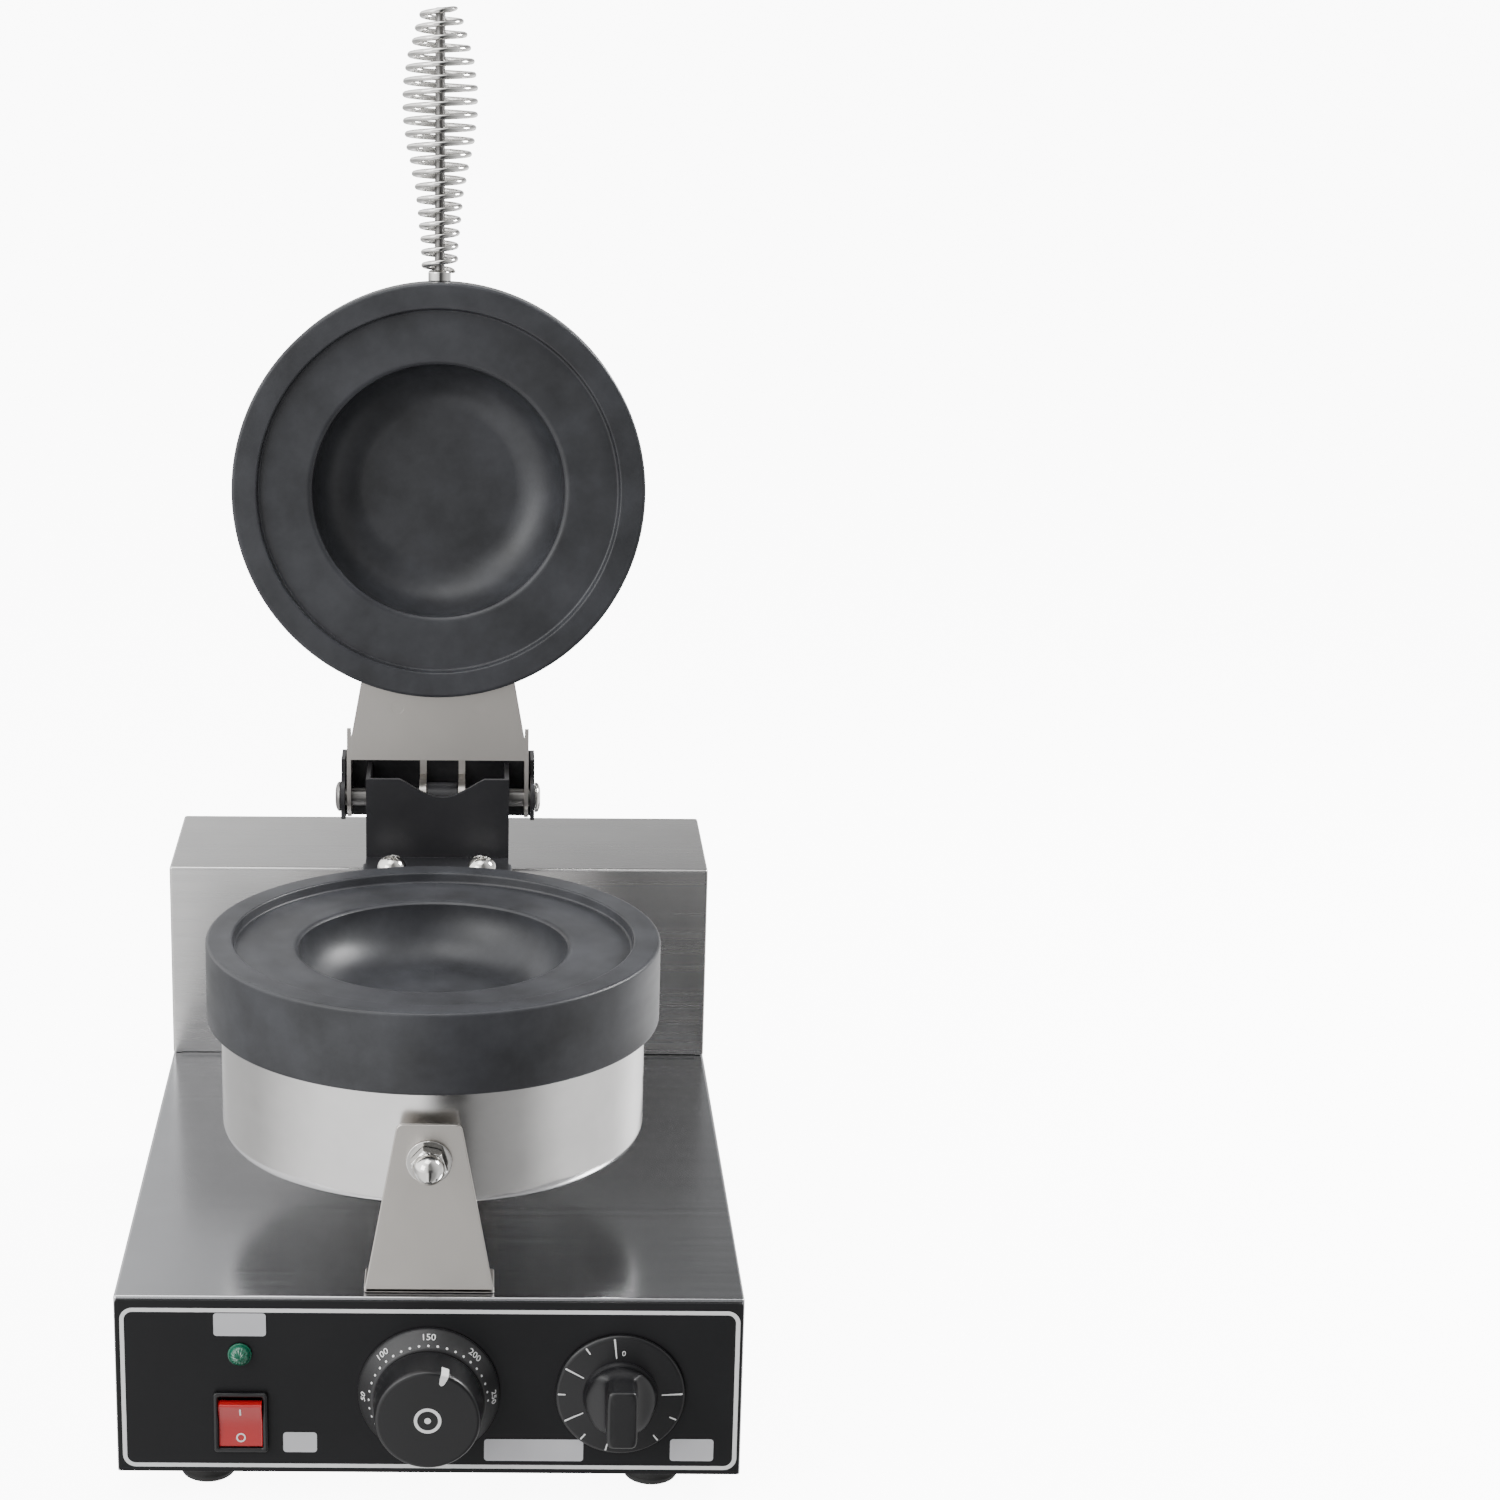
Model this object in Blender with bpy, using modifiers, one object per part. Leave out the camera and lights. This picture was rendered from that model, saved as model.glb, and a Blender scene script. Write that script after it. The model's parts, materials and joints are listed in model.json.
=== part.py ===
"""A single-head waffle bun and donut press: a stainless box with the controls, a fixed
lower mould, and a hinged upper mould with a cool-touch coil handle.

Metres, +Z up. The dimensions below are given in a working frame whose x = 0 is the
middle, y = 0 the plane of the control panel and z = 0 the table; +y goes to the back.
The finished object is centred on its footprint by the empty that everything hangs from.
"""

import math

import bmesh
import bpy
from mathutils import Matrix, Vector

GAP = 0.0003

# Housing and rear cover
WIDTH = 0.250
DEPTH = 0.350
FOOT_HEIGHT = 0.010
DECK_Z = 0.087
SHEET = 0.0012
PANEL_THICK = 0.001
REAR_COVER_FRONT = 0.268
REAR_COVER_TOP = 0.179
FOOT_X = 0.090
FOOT_INSET = 0.0195
FOOT_RADIUS = 0.0115

# Moulds
MOULD_Y = 0.101
LOWER_RADIUS = 0.094
UPPER_RADIUS = 0.091
PLATE_BOTTOM = 0.170
PLATE_TOP = 0.204
PLATE_THICK = PLATE_TOP - PLATE_BOTTOM
RECESS_DEPTH = 0.0043
RECESS_MARGIN = 0.0113
BOWL_RADIUS = 0.057
BOWL_FLAT = 0.034
BOWL_DEPTH = 0.0238
SHELL_WALL = 0.0010
LOWER_SHELL_RADIUS = 0.088
LOWER_SHELL_BOTTOM = 0.120
UPPER_SHELL_RADIUS = 0.084
UPPER_SHELL_HEIGHT = 0.042

# Hinge
HINGE_Y = 0.240
HINGE_Z = 0.222
OPEN_ANGLE = math.radians(96.0)
PIN_RADIUS = 0.004
PIN_HOLE = 0.0043
LUG_X = 0.002
LUG_SPREAD = 0.00875
LUG_THICK = 0.003

# Handle
HANDLE_LENGTH = 0.115
HANDLE_START = 0.0030
WIRE_RADIUS = 0.00125
ROD_RADIUS = 0.0022
COIL_TURNS = 20
COIL_STEPS = 8
COIL_RADII = (0.0080, 0.0084, 0.0095, 0.0106, 0.0128, 0.0152, 0.0165, 0.0165, 0.0150, 0.0118, 0.0086)

# Controls, seen from the front
LAMP_X = -0.075
LAMP_Z = 0.0627
LAMP_RADIUS = 0.0048
SWITCH_X = -0.075
SWITCH_Z = 0.0333
SWITCH_ANGLE = math.radians(10.0)
THERMOSTAT_X = 0.0
TIMER_X = 0.0762
KNOB_Z = 0.0467
SHAFT_RADIUS = 0.003

# The knobs stand furthest forward and the mains gland furthest back.
FRONT_Y = -0.0254
BACK_Y = 0.364
UPPER_FACE_Z = PLATE_TOP + GAP
ROUND = 28
SMALL = 12
MOULD_SIDES = 40

PALETTE = {
    "brushed_steel": ((0.62, 0.62, 0.62), 0.32, 1.0),
    "bright_steel": ((0.78, 0.78, 0.78), 0.14, 1.0),
    "chrome": ((0.85, 0.85, 0.85), 0.08, 1.0),
    "nonstick": ((0.075, 0.075, 0.08), 0.45, 0.4),
    "black_paint": ((0.03, 0.03, 0.032), 0.4, 0.0),
    "panel_black": ((0.035, 0.035, 0.037), 0.45, 0.0),
    "black_plastic": ((0.025, 0.025, 0.026), 0.45, 0.0),
    "red_plastic": ((0.75, 0.03, 0.03), 0.3, 0.0),
    "green_lens": ((0.01, 0.25, 0.11), 0.15, 0.0),
    "rubber": ((0.02, 0.02, 0.02), 0.8, 0.0),
    "zinc": ((0.55, 0.55, 0.52), 0.4, 1.0),
    "mica": ((0.55, 0.45, 0.30), 0.6, 0.0),
    "ceramic_wool": ((0.85, 0.84, 0.80), 0.95, 0.0),
    "ceramic": ((0.85, 0.83, 0.78), 0.4, 0.0),
}

ALONG_X = (0.0, math.radians(90.0), 0.0)
ALONG_Y = (math.radians(-90.0), 0.0, 0.0)
TO_FRONT = (math.radians(90.0), 0.0, 0.0)


def clear_scene():
    """Remove every object of the open scene."""
    for obj in list(bpy.data.objects):
        bpy.data.objects.remove(obj, do_unlink=True)


def collection(name, helper=False):
    """Make a collection under the scene; a helper collection is not rendered."""
    made = bpy.data.collections.new(name)
    made.hide_render = helper
    bpy.context.scene.collection.children.link(made)
    return made


def material(name):
    """The material of one finish, made the first time that it is asked for."""
    found = bpy.data.materials.get(name)
    if found:
        return found
    colour, roughness, metallic = PALETTE[name]
    made = bpy.data.materials.new(name)
    made.use_nodes = True
    shader = made.node_tree.nodes["Principled BSDF"]
    shader.inputs["Base Color"].default_value = (*colour, 1.0)
    shader.inputs["Roughness"].default_value = roughness
    shader.inputs["Metallic"].default_value = metallic
    return made


def empty(name, location, parent=None):
    """An empty that carries a group of parts."""
    made = bpy.data.objects.new(name, None)
    made.location = location
    made.parent = parent
    PARTS.objects.link(made)
    return made


def place(name, data, finish, parent, location=(0, 0, 0), rotation=(0, 0, 0)):
    """Put a mesh or curve into the scene; without a finish it is a hidden cutter."""
    made = bpy.data.objects.new(name, data)
    made.location = location
    made.rotation_euler = rotation
    made.parent = parent
    if finish:
        PARTS.objects.link(made)
        data.materials.append(material(finish))
    else:
        CUTTERS.objects.link(made)
        made.hide_render = True
        made.display_type = "WIRE"
    return made


def bevel(obj, width, segments=2, angle=35.0):
    """Round the sharp edges of an object."""
    modifier = obj.modifiers.new("Rounded edges", "BEVEL")
    modifier.width = width
    modifier.segments = segments
    modifier.limit_method = "ANGLE"
    modifier.angle_limit = math.radians(angle)
    return obj


def boolean(obj, other, operation="DIFFERENCE"):
    """Combine an object with a helper object."""
    modifier = obj.modifiers.new(operation.title(), "BOOLEAN")
    modifier.operation = operation
    modifier.object = other
    return obj


def smooth(obj, angle=40.0):
    """Shade a round piece smooth, with its sharp edges kept."""
    obj.data.shade_smooth()
    obj.data.set_sharp_from_angle(angle=math.radians(angle))
    return obj


def box(name, low, high, finish, parent, open_side=None):
    """A box between two corners; open_side drops the faces that point that way."""
    low = Vector(low)
    high = Vector(high)
    size = high - low
    mesh = bpy.data.meshes.new(name)
    work = bmesh.new()
    bmesh.ops.create_cube(work, size=1.0, matrix=Matrix.Diagonal((*size, 1.0)))
    if open_side:
        facing = [face for face in work.faces if face.normal.dot(Vector(open_side)) > 0.9]
        bmesh.ops.delete(work, geom=facing, context="FACES")
    work.to_mesh(mesh)
    work.free()
    return place(name, mesh, finish, parent, (low + high) / 2)


def cylinder(name, radius, length, finish, parent, centre, rotation=(0, 0, 0), sides=SMALL):
    """A solid cylinder along its own z, turned into place."""
    mesh = bpy.data.meshes.new(name)
    work = bmesh.new()
    bmesh.ops.create_cone(
        work, cap_ends=True, segments=sides, radius1=radius, radius2=radius, depth=length
    )
    work.to_mesh(mesh)
    work.free()
    return smooth(place(name, mesh, finish, parent, centre, rotation))


def turned(name, profile, finish, parent, location, rotation=(0, 0, 0), sides=ROUND):
    """A solid of revolution from a closed loop of (radius, height) points.

    The loop runs from the top of the outer side downwards. Where two neighbours lie on
    the axis, the edge between them is left out, as the turned surface closes there.
    """
    mesh = bpy.data.meshes.new(name)
    count = len(profile)
    edges = [
        (i, (i + 1) % count) for i in range(count)
        if profile[i][0] > 0.0 or profile[(i + 1) % count][0] > 0.0
    ]
    mesh.from_pydata([(radius, 0.0, height) for radius, height in profile], edges, [])
    made = place(name, mesh, finish, parent, location, rotation)
    screw = made.modifiers.new("Turned", "SCREW")
    screw.steps = sides
    screw.render_steps = sides
    screw.use_merge_vertices = True
    screw.merge_threshold = 0.00001
    screw.use_smooth_shade = False
    return made


def outline(name, loops, thickness, finish, parent, location, rotation=(0, 0, 0)):
    """A flat sheet from 2D loops, the first the outer one and the others holes.

    The sheet is the loops' plane thickened evenly to both sides, as a mesh.
    """
    curve = bpy.data.curves.new(name, "CURVE")
    curve.dimensions = "2D"
    curve.fill_mode = "BOTH"
    curve.extrude = thickness / 2
    for loop in loops:
        spline = curve.splines.new("POLY")
        spline.points.add(len(loop) - 1)
        for point, (x, y) in zip(spline.points, loop):
            point.co = (x, y, 0.0, 1.0)
        spline.use_cyclic_u = True
    guide = bpy.data.objects.new(name + "_outline", curve)
    return as_mesh(name, guide, finish, parent, location, rotation)


def as_mesh(name, guide, finish, parent, location=(0, 0, 0), rotation=(0, 0, 0)):
    """A mesh object from a curve object, with the caps welded to the sides."""
    CUTTERS.objects.link(guide)
    graph = bpy.context.evaluated_depsgraph_get()
    mesh = bpy.data.meshes.new_from_object(guide.evaluated_get(graph))
    mesh.name = name
    work = bmesh.new()
    work.from_mesh(mesh)
    bmesh.ops.remove_doubles(work, verts=work.verts, dist=0.000001)
    bmesh.ops.recalc_face_normals(work, faces=work.faces)
    work.to_mesh(mesh)
    work.free()
    bpy.data.objects.remove(guide)
    return place(name, mesh, finish, parent, location, rotation)


def arc(centre, radius, start, end, steps):
    """Points along an arc, with the angles in degrees, both ends included."""
    turns = [math.radians(start + (end - start) * i / steps) for i in range(steps + 1)]
    return [(centre[0] + radius * math.cos(t), centre[1] + radius * math.sin(t)) for t in turns]


def circle(centre, radius, sides=SMALL):
    """Points of a full circle."""
    return arc(centre, radius, 0.0, 360.0 - 360.0 / sides, sides - 1)


def rounded(width, height, radius, steps=3):
    """A rounded rectangle about the origin."""
    x = width / 2 - radius
    y = height / 2 - radius
    corners = ((x, y, 0), (-x, y, 90), (-x, -y, 180), (x, -y, 270))
    loop = []
    for cx, cy, start in corners:
        loop += arc((cx, cy), radius, start, start + 90, steps)
    return loop


def cut_cylinder(target, name, radius, length, centre, rotation=(0, 0, 0), sides=SMALL):
    """Cut a round hole in a target."""
    parent = target.parent
    boolean(target, cylinder(name, radius, length, None, parent, centre, rotation, sides))


def cut_box(target, name, low, high):
    """Cut a square hole in a target."""
    boolean(target, box(name, low, high, None, target.parent))


# ---------------------------------------------------------------- housing


def build_housing(base):
    """Box of folded sheet, open below, with holes for the controls and the leads."""
    front = PANEL_THICK + GAP
    housing = box(
        "housing", (-WIDTH / 2, front, FOOT_HEIGHT), (WIDTH / 2, DEPTH, DECK_Z),
        "brushed_steel", base, open_side=(0, 0, -1),
    )
    bevel(housing, 0.0012)
    shell = housing.modifiers.new("Sheet", "SOLIDIFY")
    shell.thickness = SHEET
    shell.offset = -1.0
    for name, x, z, radius in (
        ("thermostat_hole", THERMOSTAT_X, KNOB_Z, 0.005),
        ("timer_hole", TIMER_X, KNOB_Z, 0.005),
        ("lamp_hole", LAMP_X, LAMP_Z, 0.0046),
    ):
        cut_cylinder(housing, name, radius, 0.010, (x, front, z), ALONG_Y)
    cut_box(
        housing, "switch_hole",
        (SWITCH_X - 0.0099, -0.005, SWITCH_Z - 0.0123),
        (SWITCH_X + 0.0099, 0.010, SWITCH_Z + 0.0123),
    )
    cut_cylinder(housing, "lower_lead_hole", 0.0085, 0.010, (0, 0.150, DECK_Z))
    cut_box(housing, "cover_lead_hole", (-0.020, 0.290, DECK_Z - 0.005), (0.020, 0.320, DECK_Z + 0.005))
    cut_cylinder(housing, "mains_hole", 0.0073, 0.010, (-0.085, DEPTH, 0.032), ALONG_Y)


def build_base_plate(base):
    """Bottom plate inside the housing, with a row of vent slots."""
    inside = WIDTH / 2 - SHEET - GAP
    middle = (PANEL_THICK + GAP + DEPTH) / 2
    depth = DEPTH - PANEL_THICK - GAP - 2 * (SHEET + GAP)
    loops = [rounded(2 * inside, depth, 0.002)]
    for row in (-1, 1):
        for column in range(-3, 4):
            slot = rounded(0.004, 0.040, 0.0018, 1)
            loops.append([(x + 0.016 * column, y + row * 0.060) for x, y in slot])
    for x, y in foot_places():
        loops.append(circle((x, y - middle), 0.0027, 12))
    outline(
        "base_plate", loops, 0.0012, "zinc", base, (0, middle, FOOT_HEIGHT + GAP + 0.0006)
    )


def foot_places():
    """The four feet's centres, front ones first."""
    rows = (FOOT_INSET, DEPTH - FOOT_INSET)
    return [(side * FOOT_X, y) for y in rows for side in (-1, 1)]


def build_feet(base):
    """Rubber feet, each with its screw up through the bottom plate."""
    names = ("front_left", "front_right", "rear_left", "rear_right")
    r = FOOT_RADIUS
    profile = [
        (r - 0.0015, FOOT_HEIGHT), (r, FOOT_HEIGHT - 0.001), (r, 0.004), (r - 0.0008, 0.0015),
        (r - 0.0025, 0.0), (0.0055, 0.0), (0.0055, 0.0045), (0.0024, 0.0045), (0.0024, FOOT_HEIGHT),
    ]
    screw = [
        (0.0, 0.0162), (0.0021, 0.0162), (0.0021, 0.0042), (0.0045, 0.0042),
        (0.0042, 0.0022), (0.0025, 0.0015), (0.0, 0.0015),
    ]
    for name, (x, y) in zip(names, foot_places()):
        turned("foot_" + name, profile, "rubber", base, (x, y, 0), sides=SMALL)
        turned("foot_screw_" + name, screw, "zinc", base, (x, y, 0), sides=8)


def build_front_panel(base):
    """Black control panel laid on the housing's front."""
    width = WIDTH - 0.0012
    height = DECK_Z - FOOT_HEIGHT - 0.0018
    middle = (DECK_Z + FOOT_HEIGHT) / 2 - 0.0003
    loops = [rounded(width, height, 0.0015)]
    for x, z, radius in (
        (THERMOSTAT_X, KNOB_Z, 0.005), (TIMER_X, KNOB_Z, 0.005), (LAMP_X, LAMP_Z, 0.0046),
    ):
        loops.append(circle((x, z - middle), radius))
    window = rounded(0.0198, 0.0246, 0.0005, 1)
    loops.append([(x + SWITCH_X, z + SWITCH_Z - middle) for x, z in window])
    outline(
        "front_panel", loops, PANEL_THICK, "panel_black", base,
        (0, PANEL_THICK / 2, middle), TO_FRONT,
    )


def build_rear_cover(base):
    """Raised box at the back of the deck, open below, with the lid lead's gland on top."""
    cover = box(
        "rear_cover", (-WIDTH / 2, REAR_COVER_FRONT, DECK_Z + GAP), (WIDTH / 2, DEPTH, REAR_COVER_TOP),
        "brushed_steel", base, open_side=(0, 0, -1),
    )
    bevel(cover, 0.0012)
    shell = cover.modifiers.new("Sheet", "SOLIDIFY")
    shell.thickness = SHEET
    shell.offset = -1.0
    cut_cylinder(cover, "lid_lead_hole", 0.0063, 0.010, (0, 0.312, REAR_COVER_TOP))
    cut_box(
        cover, "front_relief",
        (-WIDTH / 2 + 0.004, REAR_COVER_FRONT - 0.002, DECK_Z - 0.002),
        (WIDTH / 2 - 0.004, REAR_COVER_FRONT + 0.0006, DECK_Z + 0.0022),
    )
    slot = rounded(0.0030, 0.026, 0.0014, 1)
    for column in range(-4, 5):
        x = 0.012 * column
        cutter = outline(
            f"cover_vent_{column + 4}", [slot], 0.010, None, base, (x, DEPTH, 0.140), TO_FRONT
        )
        boolean(cover, cutter)
    for side, name in ((-1, "left"), (1, "right")):
        hole = (side * WIDTH / 2, 0.310, 0.100)
        cut_cylinder(cover, f"cover_screw_hole_{name}", 0.0020, 0.010, hole, ALONG_X, 12)
        screw = [
            (0.0, 0.0022), (0.0020, 0.0019), (0.0036, 0.0004), (0.0036, 0.0003),
            (0.0016, 0.0003), (0.0016, -0.0080), (0.0, -0.0080),
        ]
        turned(
            "rear_cover_screw_" + name, screw, "chrome", base, (side * WIDTH / 2, 0.310, 0.100),
            (0, side * math.radians(90), 0), sides=12,
        )


def build_glands(base, lid):
    """Glands where the mains lead, the lid lead and the lid's own lead enter."""
    def gland(name, inner, parent, location, rotation):
        profile = [
            (inner + 0.0015, 0.0140), (inner + 0.0030, 0.0120), (inner + 0.0030, 0.0070),
            (inner + 0.0050, 0.0060), (inner + 0.0050, GAP), (inner + 0.0027, GAP),
            (inner + 0.0027, -0.0060), (inner, -0.0060), (inner, 0.0140),
        ]
        turned(name, profile, "black_plastic", parent, location, rotation, sides=SMALL)

    gland("power_inlet_gland", 0.0040, base, (-0.085, DEPTH, 0.032), ALONG_Y)
    gland("lid_lead_gland", 0.0030, base, (0, 0.312, REAR_COVER_TOP), (0, 0, 0))
    top = UPPER_FACE_Z + PLATE_THICK + GAP + UPPER_SHELL_HEIGHT
    gland("upper_lead_gland", 0.0030, lid, lid_point(0, 0.140, top), (0, 0, 0))


def build_terminal_block(base):
    """Ceramic connector on the bottom plate, with two rows of wire holes."""
    floor = FOOT_HEIGHT + 2 * GAP + 0.0012
    block = box(
        "terminal_block", (-0.100, 0.285, floor), (-0.070, 0.303, floor + 0.016), "ceramic", base
    )
    bevel(block, 0.001, 1)
    for column in (-1, 0, 1):
        x = -0.085 + 0.009 * column
        cut_cylinder(block, f"wire_hole_{column + 1}", 0.0025, 0.040, (x, 0.294, floor + 0.007), ALONG_Y, 12)


# --------------------------------------------------------------- controls


def build_switch(base, rocker_body):
    """Rocker switch: a framed body with a pocket, and the rocker on its own axis."""
    body = box(
        "switch_body",
        (SWITCH_X - 0.0096, -0.0015, SWITCH_Z - 0.0120),
        (SWITCH_X + 0.0096, 0.0200, SWITCH_Z + 0.0120),
        "black_plastic", base,
    )
    frame = outline(
        "switch_frame", [rounded(0.0215, 0.0260, 0.0012)], 0.0020, None, base,
        (SWITCH_X, -0.0010 - GAP, SWITCH_Z), TO_FRONT,
    )
    boolean(body, frame, "UNION")
    cut_box(
        body, "switch_pocket",
        (SWITCH_X - 0.0089, -0.0100, SWITCH_Z - 0.0112), (SWITCH_X + 0.0089, 0.0110, SWITCH_Z + 0.0112),
    )
    side = [
        (-0.0060, 0.0030), (-0.0099, -0.0020), (-0.0099, -0.0058), (-0.0040, -0.0042),
        (0.0, -0.0037), (0.0040, -0.0042), (0.0099, -0.0058), (0.0099, -0.0020), (0.0060, 0.0030),
    ]
    rocker = outline(
        "switch_rocker", [[(-y, z) for z, y in side]], 0.0172, "red_plastic", rocker_body,
        (0, 0, 0), (math.radians(90), 0, math.radians(-90)),
    )
    bevel(rocker, 0.0004, 1)


def build_lamp(base):
    """Pilot lamp: a green lens in front of the panel and its holder behind it."""
    stem = 0.0042
    lens = [(0.0, 0.0052)]
    lens += [
        (LAMP_RADIUS * math.sin(math.radians(a)), 0.0012 + 0.0040 * math.cos(math.radians(a)))
        for a in range(15, 91, 15)
    ]
    lens += [(LAMP_RADIUS, GAP), (stem, GAP), (stem, -0.0035), (0.0, -0.0035)]
    turned("lamp_lens", lens, "green_lens", base, (LAMP_X, 0, LAMP_Z), TO_FRONT, sides=SMALL)
    cylinder(
        "lamp_holder", 0.0058, 0.018, "black_plastic", base, (LAMP_X, 0.0129, LAMP_Z), ALONG_Y
    )


def build_rotary(base, knob_body, name, x, shaft_front, body_radius, body_depth):
    """A control's body behind the panel, and its shaft through panel and knob."""
    back = PANEL_THICK + GAP + SHEET + GAP
    socket = SHAFT_RADIUS + GAP
    deep = 0.012
    profile = [
        (body_radius, -back), (body_radius, -back - body_depth), (0.0, -back - body_depth),
        (0.0, -back - deep), (socket, -back - deep), (socket, -back),
    ]
    turned(name + "_body", profile, "zinc", base, (x, 0, KNOB_Z), TO_FRONT, sides=16)
    length = back + deep - GAP - shaft_front
    middle = (back + deep - GAP + shaft_front) / 2
    cylinder(name + "_shaft", SHAFT_RADIUS, length, "chrome", knob_body, (0, middle, 0), ALONG_Y)


def build_thermostat(base, knob_body):
    """Thermostat with a fixed graduated skirt and a round knob that turns over it."""
    build_rotary(base, knob_body, "thermostat", THERMOSTAT_X, -0.0170, 0.0220, 0.030)
    bore = SHAFT_RADIUS + GAP
    skirt_top = 0.0088
    skirt = [
        (0.0226, skirt_top), (0.0276, 0.0026), (0.0282, 0.0016), (0.0282, GAP), (bore, GAP),
        (bore, skirt_top),
    ]
    place_of_skirt = (THERMOSTAT_X, 0, KNOB_Z)
    turned("thermostat_skirt", skirt, "black_plastic", base, place_of_skirt, TO_FRONT)
    seat = skirt_top + GAP
    top = -FRONT_Y
    knob = [
        (0.0, top), (0.0194, top), (0.0202, top - 0.0006), (0.0206, top - 0.0018),
        (0.0218, seat + 0.0010), (0.0218, seat), (bore, seat), (bore, 0.0173), (0.0, 0.0173),
    ]
    turned("thermostat_knob", knob, "black_plastic", knob_body, (0, 0, 0), TO_FRONT)


def build_timer(base, knob_body):
    """Timer with a marked disc, a raised hub and a bar grip in one moulding."""
    build_rotary(base, knob_body, "timer", TIMER_X, -0.0150, 0.0240, 0.036)
    bore = SHAFT_RADIUS + GAP
    disc = [
        (0.0, 0.0095), (0.0135, 0.0095), (0.0148, 0.0086), (0.0156, 0.0032),
        (0.0250, 0.0026), (0.0258, 0.0020), (0.0258, 0.0008), (0.0, 0.0008),
    ]
    knob = turned("timer_knob", disc, "black_plastic", knob_body, (0, 0, 0), TO_FRONT)
    grip_root = -0.0055
    grip_front = -0.0250
    grip = outline(
        "timer_grip", [rounded(0.0120, 0.0240, 0.0025)], grip_root - grip_front, None, knob_body,
        (0, (grip_root + grip_front) / 2, 0), TO_FRONT,
    )
    boolean(knob, grip, "UNION")
    cut_cylinder(knob, "timer_bore", bore, 0.0306, (0, 0, 0), ALONG_Y)


# ----------------------------------------------------------- lower mould


def plate_profile(radius, bottom, top, sides_up=True):
    """Outline of a cast mould plate: flat rim, shallow recess and a round bowl.

    It is drawn with the bowl upwards; sides_up False turns it over between the
    same two levels.
    """
    recess = radius - RECESS_MARGIN
    floor = top - RECESS_DEPTH
    bowl_floor = floor - BOWL_DEPTH
    lift = [
        (BOWL_FLAT + (BOWL_RADIUS - 0.0015 - BOWL_FLAT) * math.sin(math.radians(a)),
         bowl_floor + (BOWL_DEPTH - 0.0012) * (1 - math.cos(math.radians(a))))
        for a in (75, 60, 45, 30, 15)
    ]
    points = [
        (radius - 0.0012, top), (radius, top - 0.0012), (radius, bottom + 0.001), (radius - 0.001, bottom),
        (0.0, bottom), (0.0, bowl_floor), (BOWL_FLAT, bowl_floor),
    ]
    points += list(reversed(lift))
    points += [
        (BOWL_RADIUS - 0.0012, floor - 0.0012), (BOWL_RADIUS, floor), (recess - 0.0006, floor),
        (recess, floor + 0.0006), (recess, top),
    ]
    if sides_up:
        return points
    return [(r, bottom + top - z) for r, z in reversed(points)]


def build_shell(name, radius, low, high, closed_low, parent, location):
    """A deep drawn cup, open towards its mould plate."""
    corner = 0.006
    inner = corner - SHELL_WALL
    turn_x = radius - corner
    turn_z = low + corner
    angles = [math.radians(a) for a in (22.5, 45, 67.5)]
    cup = [(radius, high), (radius, turn_z)]
    cup += [(turn_x + corner * math.cos(a), turn_z - corner * math.sin(a)) for a in angles]
    cup += [(turn_x, low), (0.0, low), (0.0, low + SHELL_WALL), (turn_x, low + SHELL_WALL)]
    cup += [
        (turn_x + inner * math.cos(a), turn_z - inner * math.sin(a)) for a in reversed(angles)
    ]
    cup += [(radius - SHELL_WALL, turn_z), (radius - SHELL_WALL, high)]
    if not closed_low:
        cup = [(r, low + high - z) for r, z in reversed(cup)]
    return turned(name, cup, "bright_steel", parent, location, sides=MOULD_SIDES)


def build_heating(prefix, low, high, away, parent, centre):
    """Heater, clamp plate and insulation stacked away from a mould plate."""
    sign = 1 if away > 0 else -1
    start = high if sign < 0 else low
    stack = (
        ("heater", 0.0035, 0.062, "mica"),
        ("clamp_plate", 0.0040, 0.058, "zinc"),
        ("insulation", 0.0240, 0.076, "ceramic_wool"),
    )
    for name, thick, radius, finish in stack:
        middle = start + sign * (GAP + thick / 2)
        cylinder(f"{prefix}_{name}", radius, thick, finish, parent, (*centre, middle), sides=16)
        start += sign * (GAP + thick)


def build_lower_mould(base):
    """Fixed mould: plate with its rear lug, shell, heater and insulation."""
    plate = turned(
        "lower_mould_plate", plate_profile(LOWER_RADIUS, PLATE_BOTTOM, PLATE_TOP), "nonstick", base,
        (0, MOULD_Y, 0), sides=MOULD_SIDES,
    )
    lug = box("lower_lug", (-0.0335, 0.183, 0.180), (0.0335, 0.224, 0.1957), None, base)
    boolean(plate, lug, "UNION")
    for side in (-1, 1):
        cut_cylinder(plate, f"lug_hole_{side}", 0.0031, 0.020, (side * 0.020, 0.2060, 0.1957))
    shell = build_shell(
        "lower_shell", LOWER_SHELL_RADIUS, LOWER_SHELL_BOTTOM, PLATE_BOTTOM - GAP, True, base,
        (0, MOULD_Y, 0),
    )
    cut_cylinder(shell, "shell_lead_hole", 0.0080, 0.010, (0, 0.150, LOWER_SHELL_BOTTOM))
    build_heating("lower", LOWER_SHELL_BOTTOM, PLATE_BOTTOM, -1, base, (0, MOULD_Y))
    tube = [
        (0.0078, LOWER_SHELL_BOTTOM + 0.004), (0.0078, DECK_Z - 0.008),
        (0.0065, DECK_Z - 0.008), (0.0065, LOWER_SHELL_BOTTOM + 0.004),
    ]
    turned("lower_lead_tube", tube, "chrome", base, (0, 0.150, 0), sides=SMALL)


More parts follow.
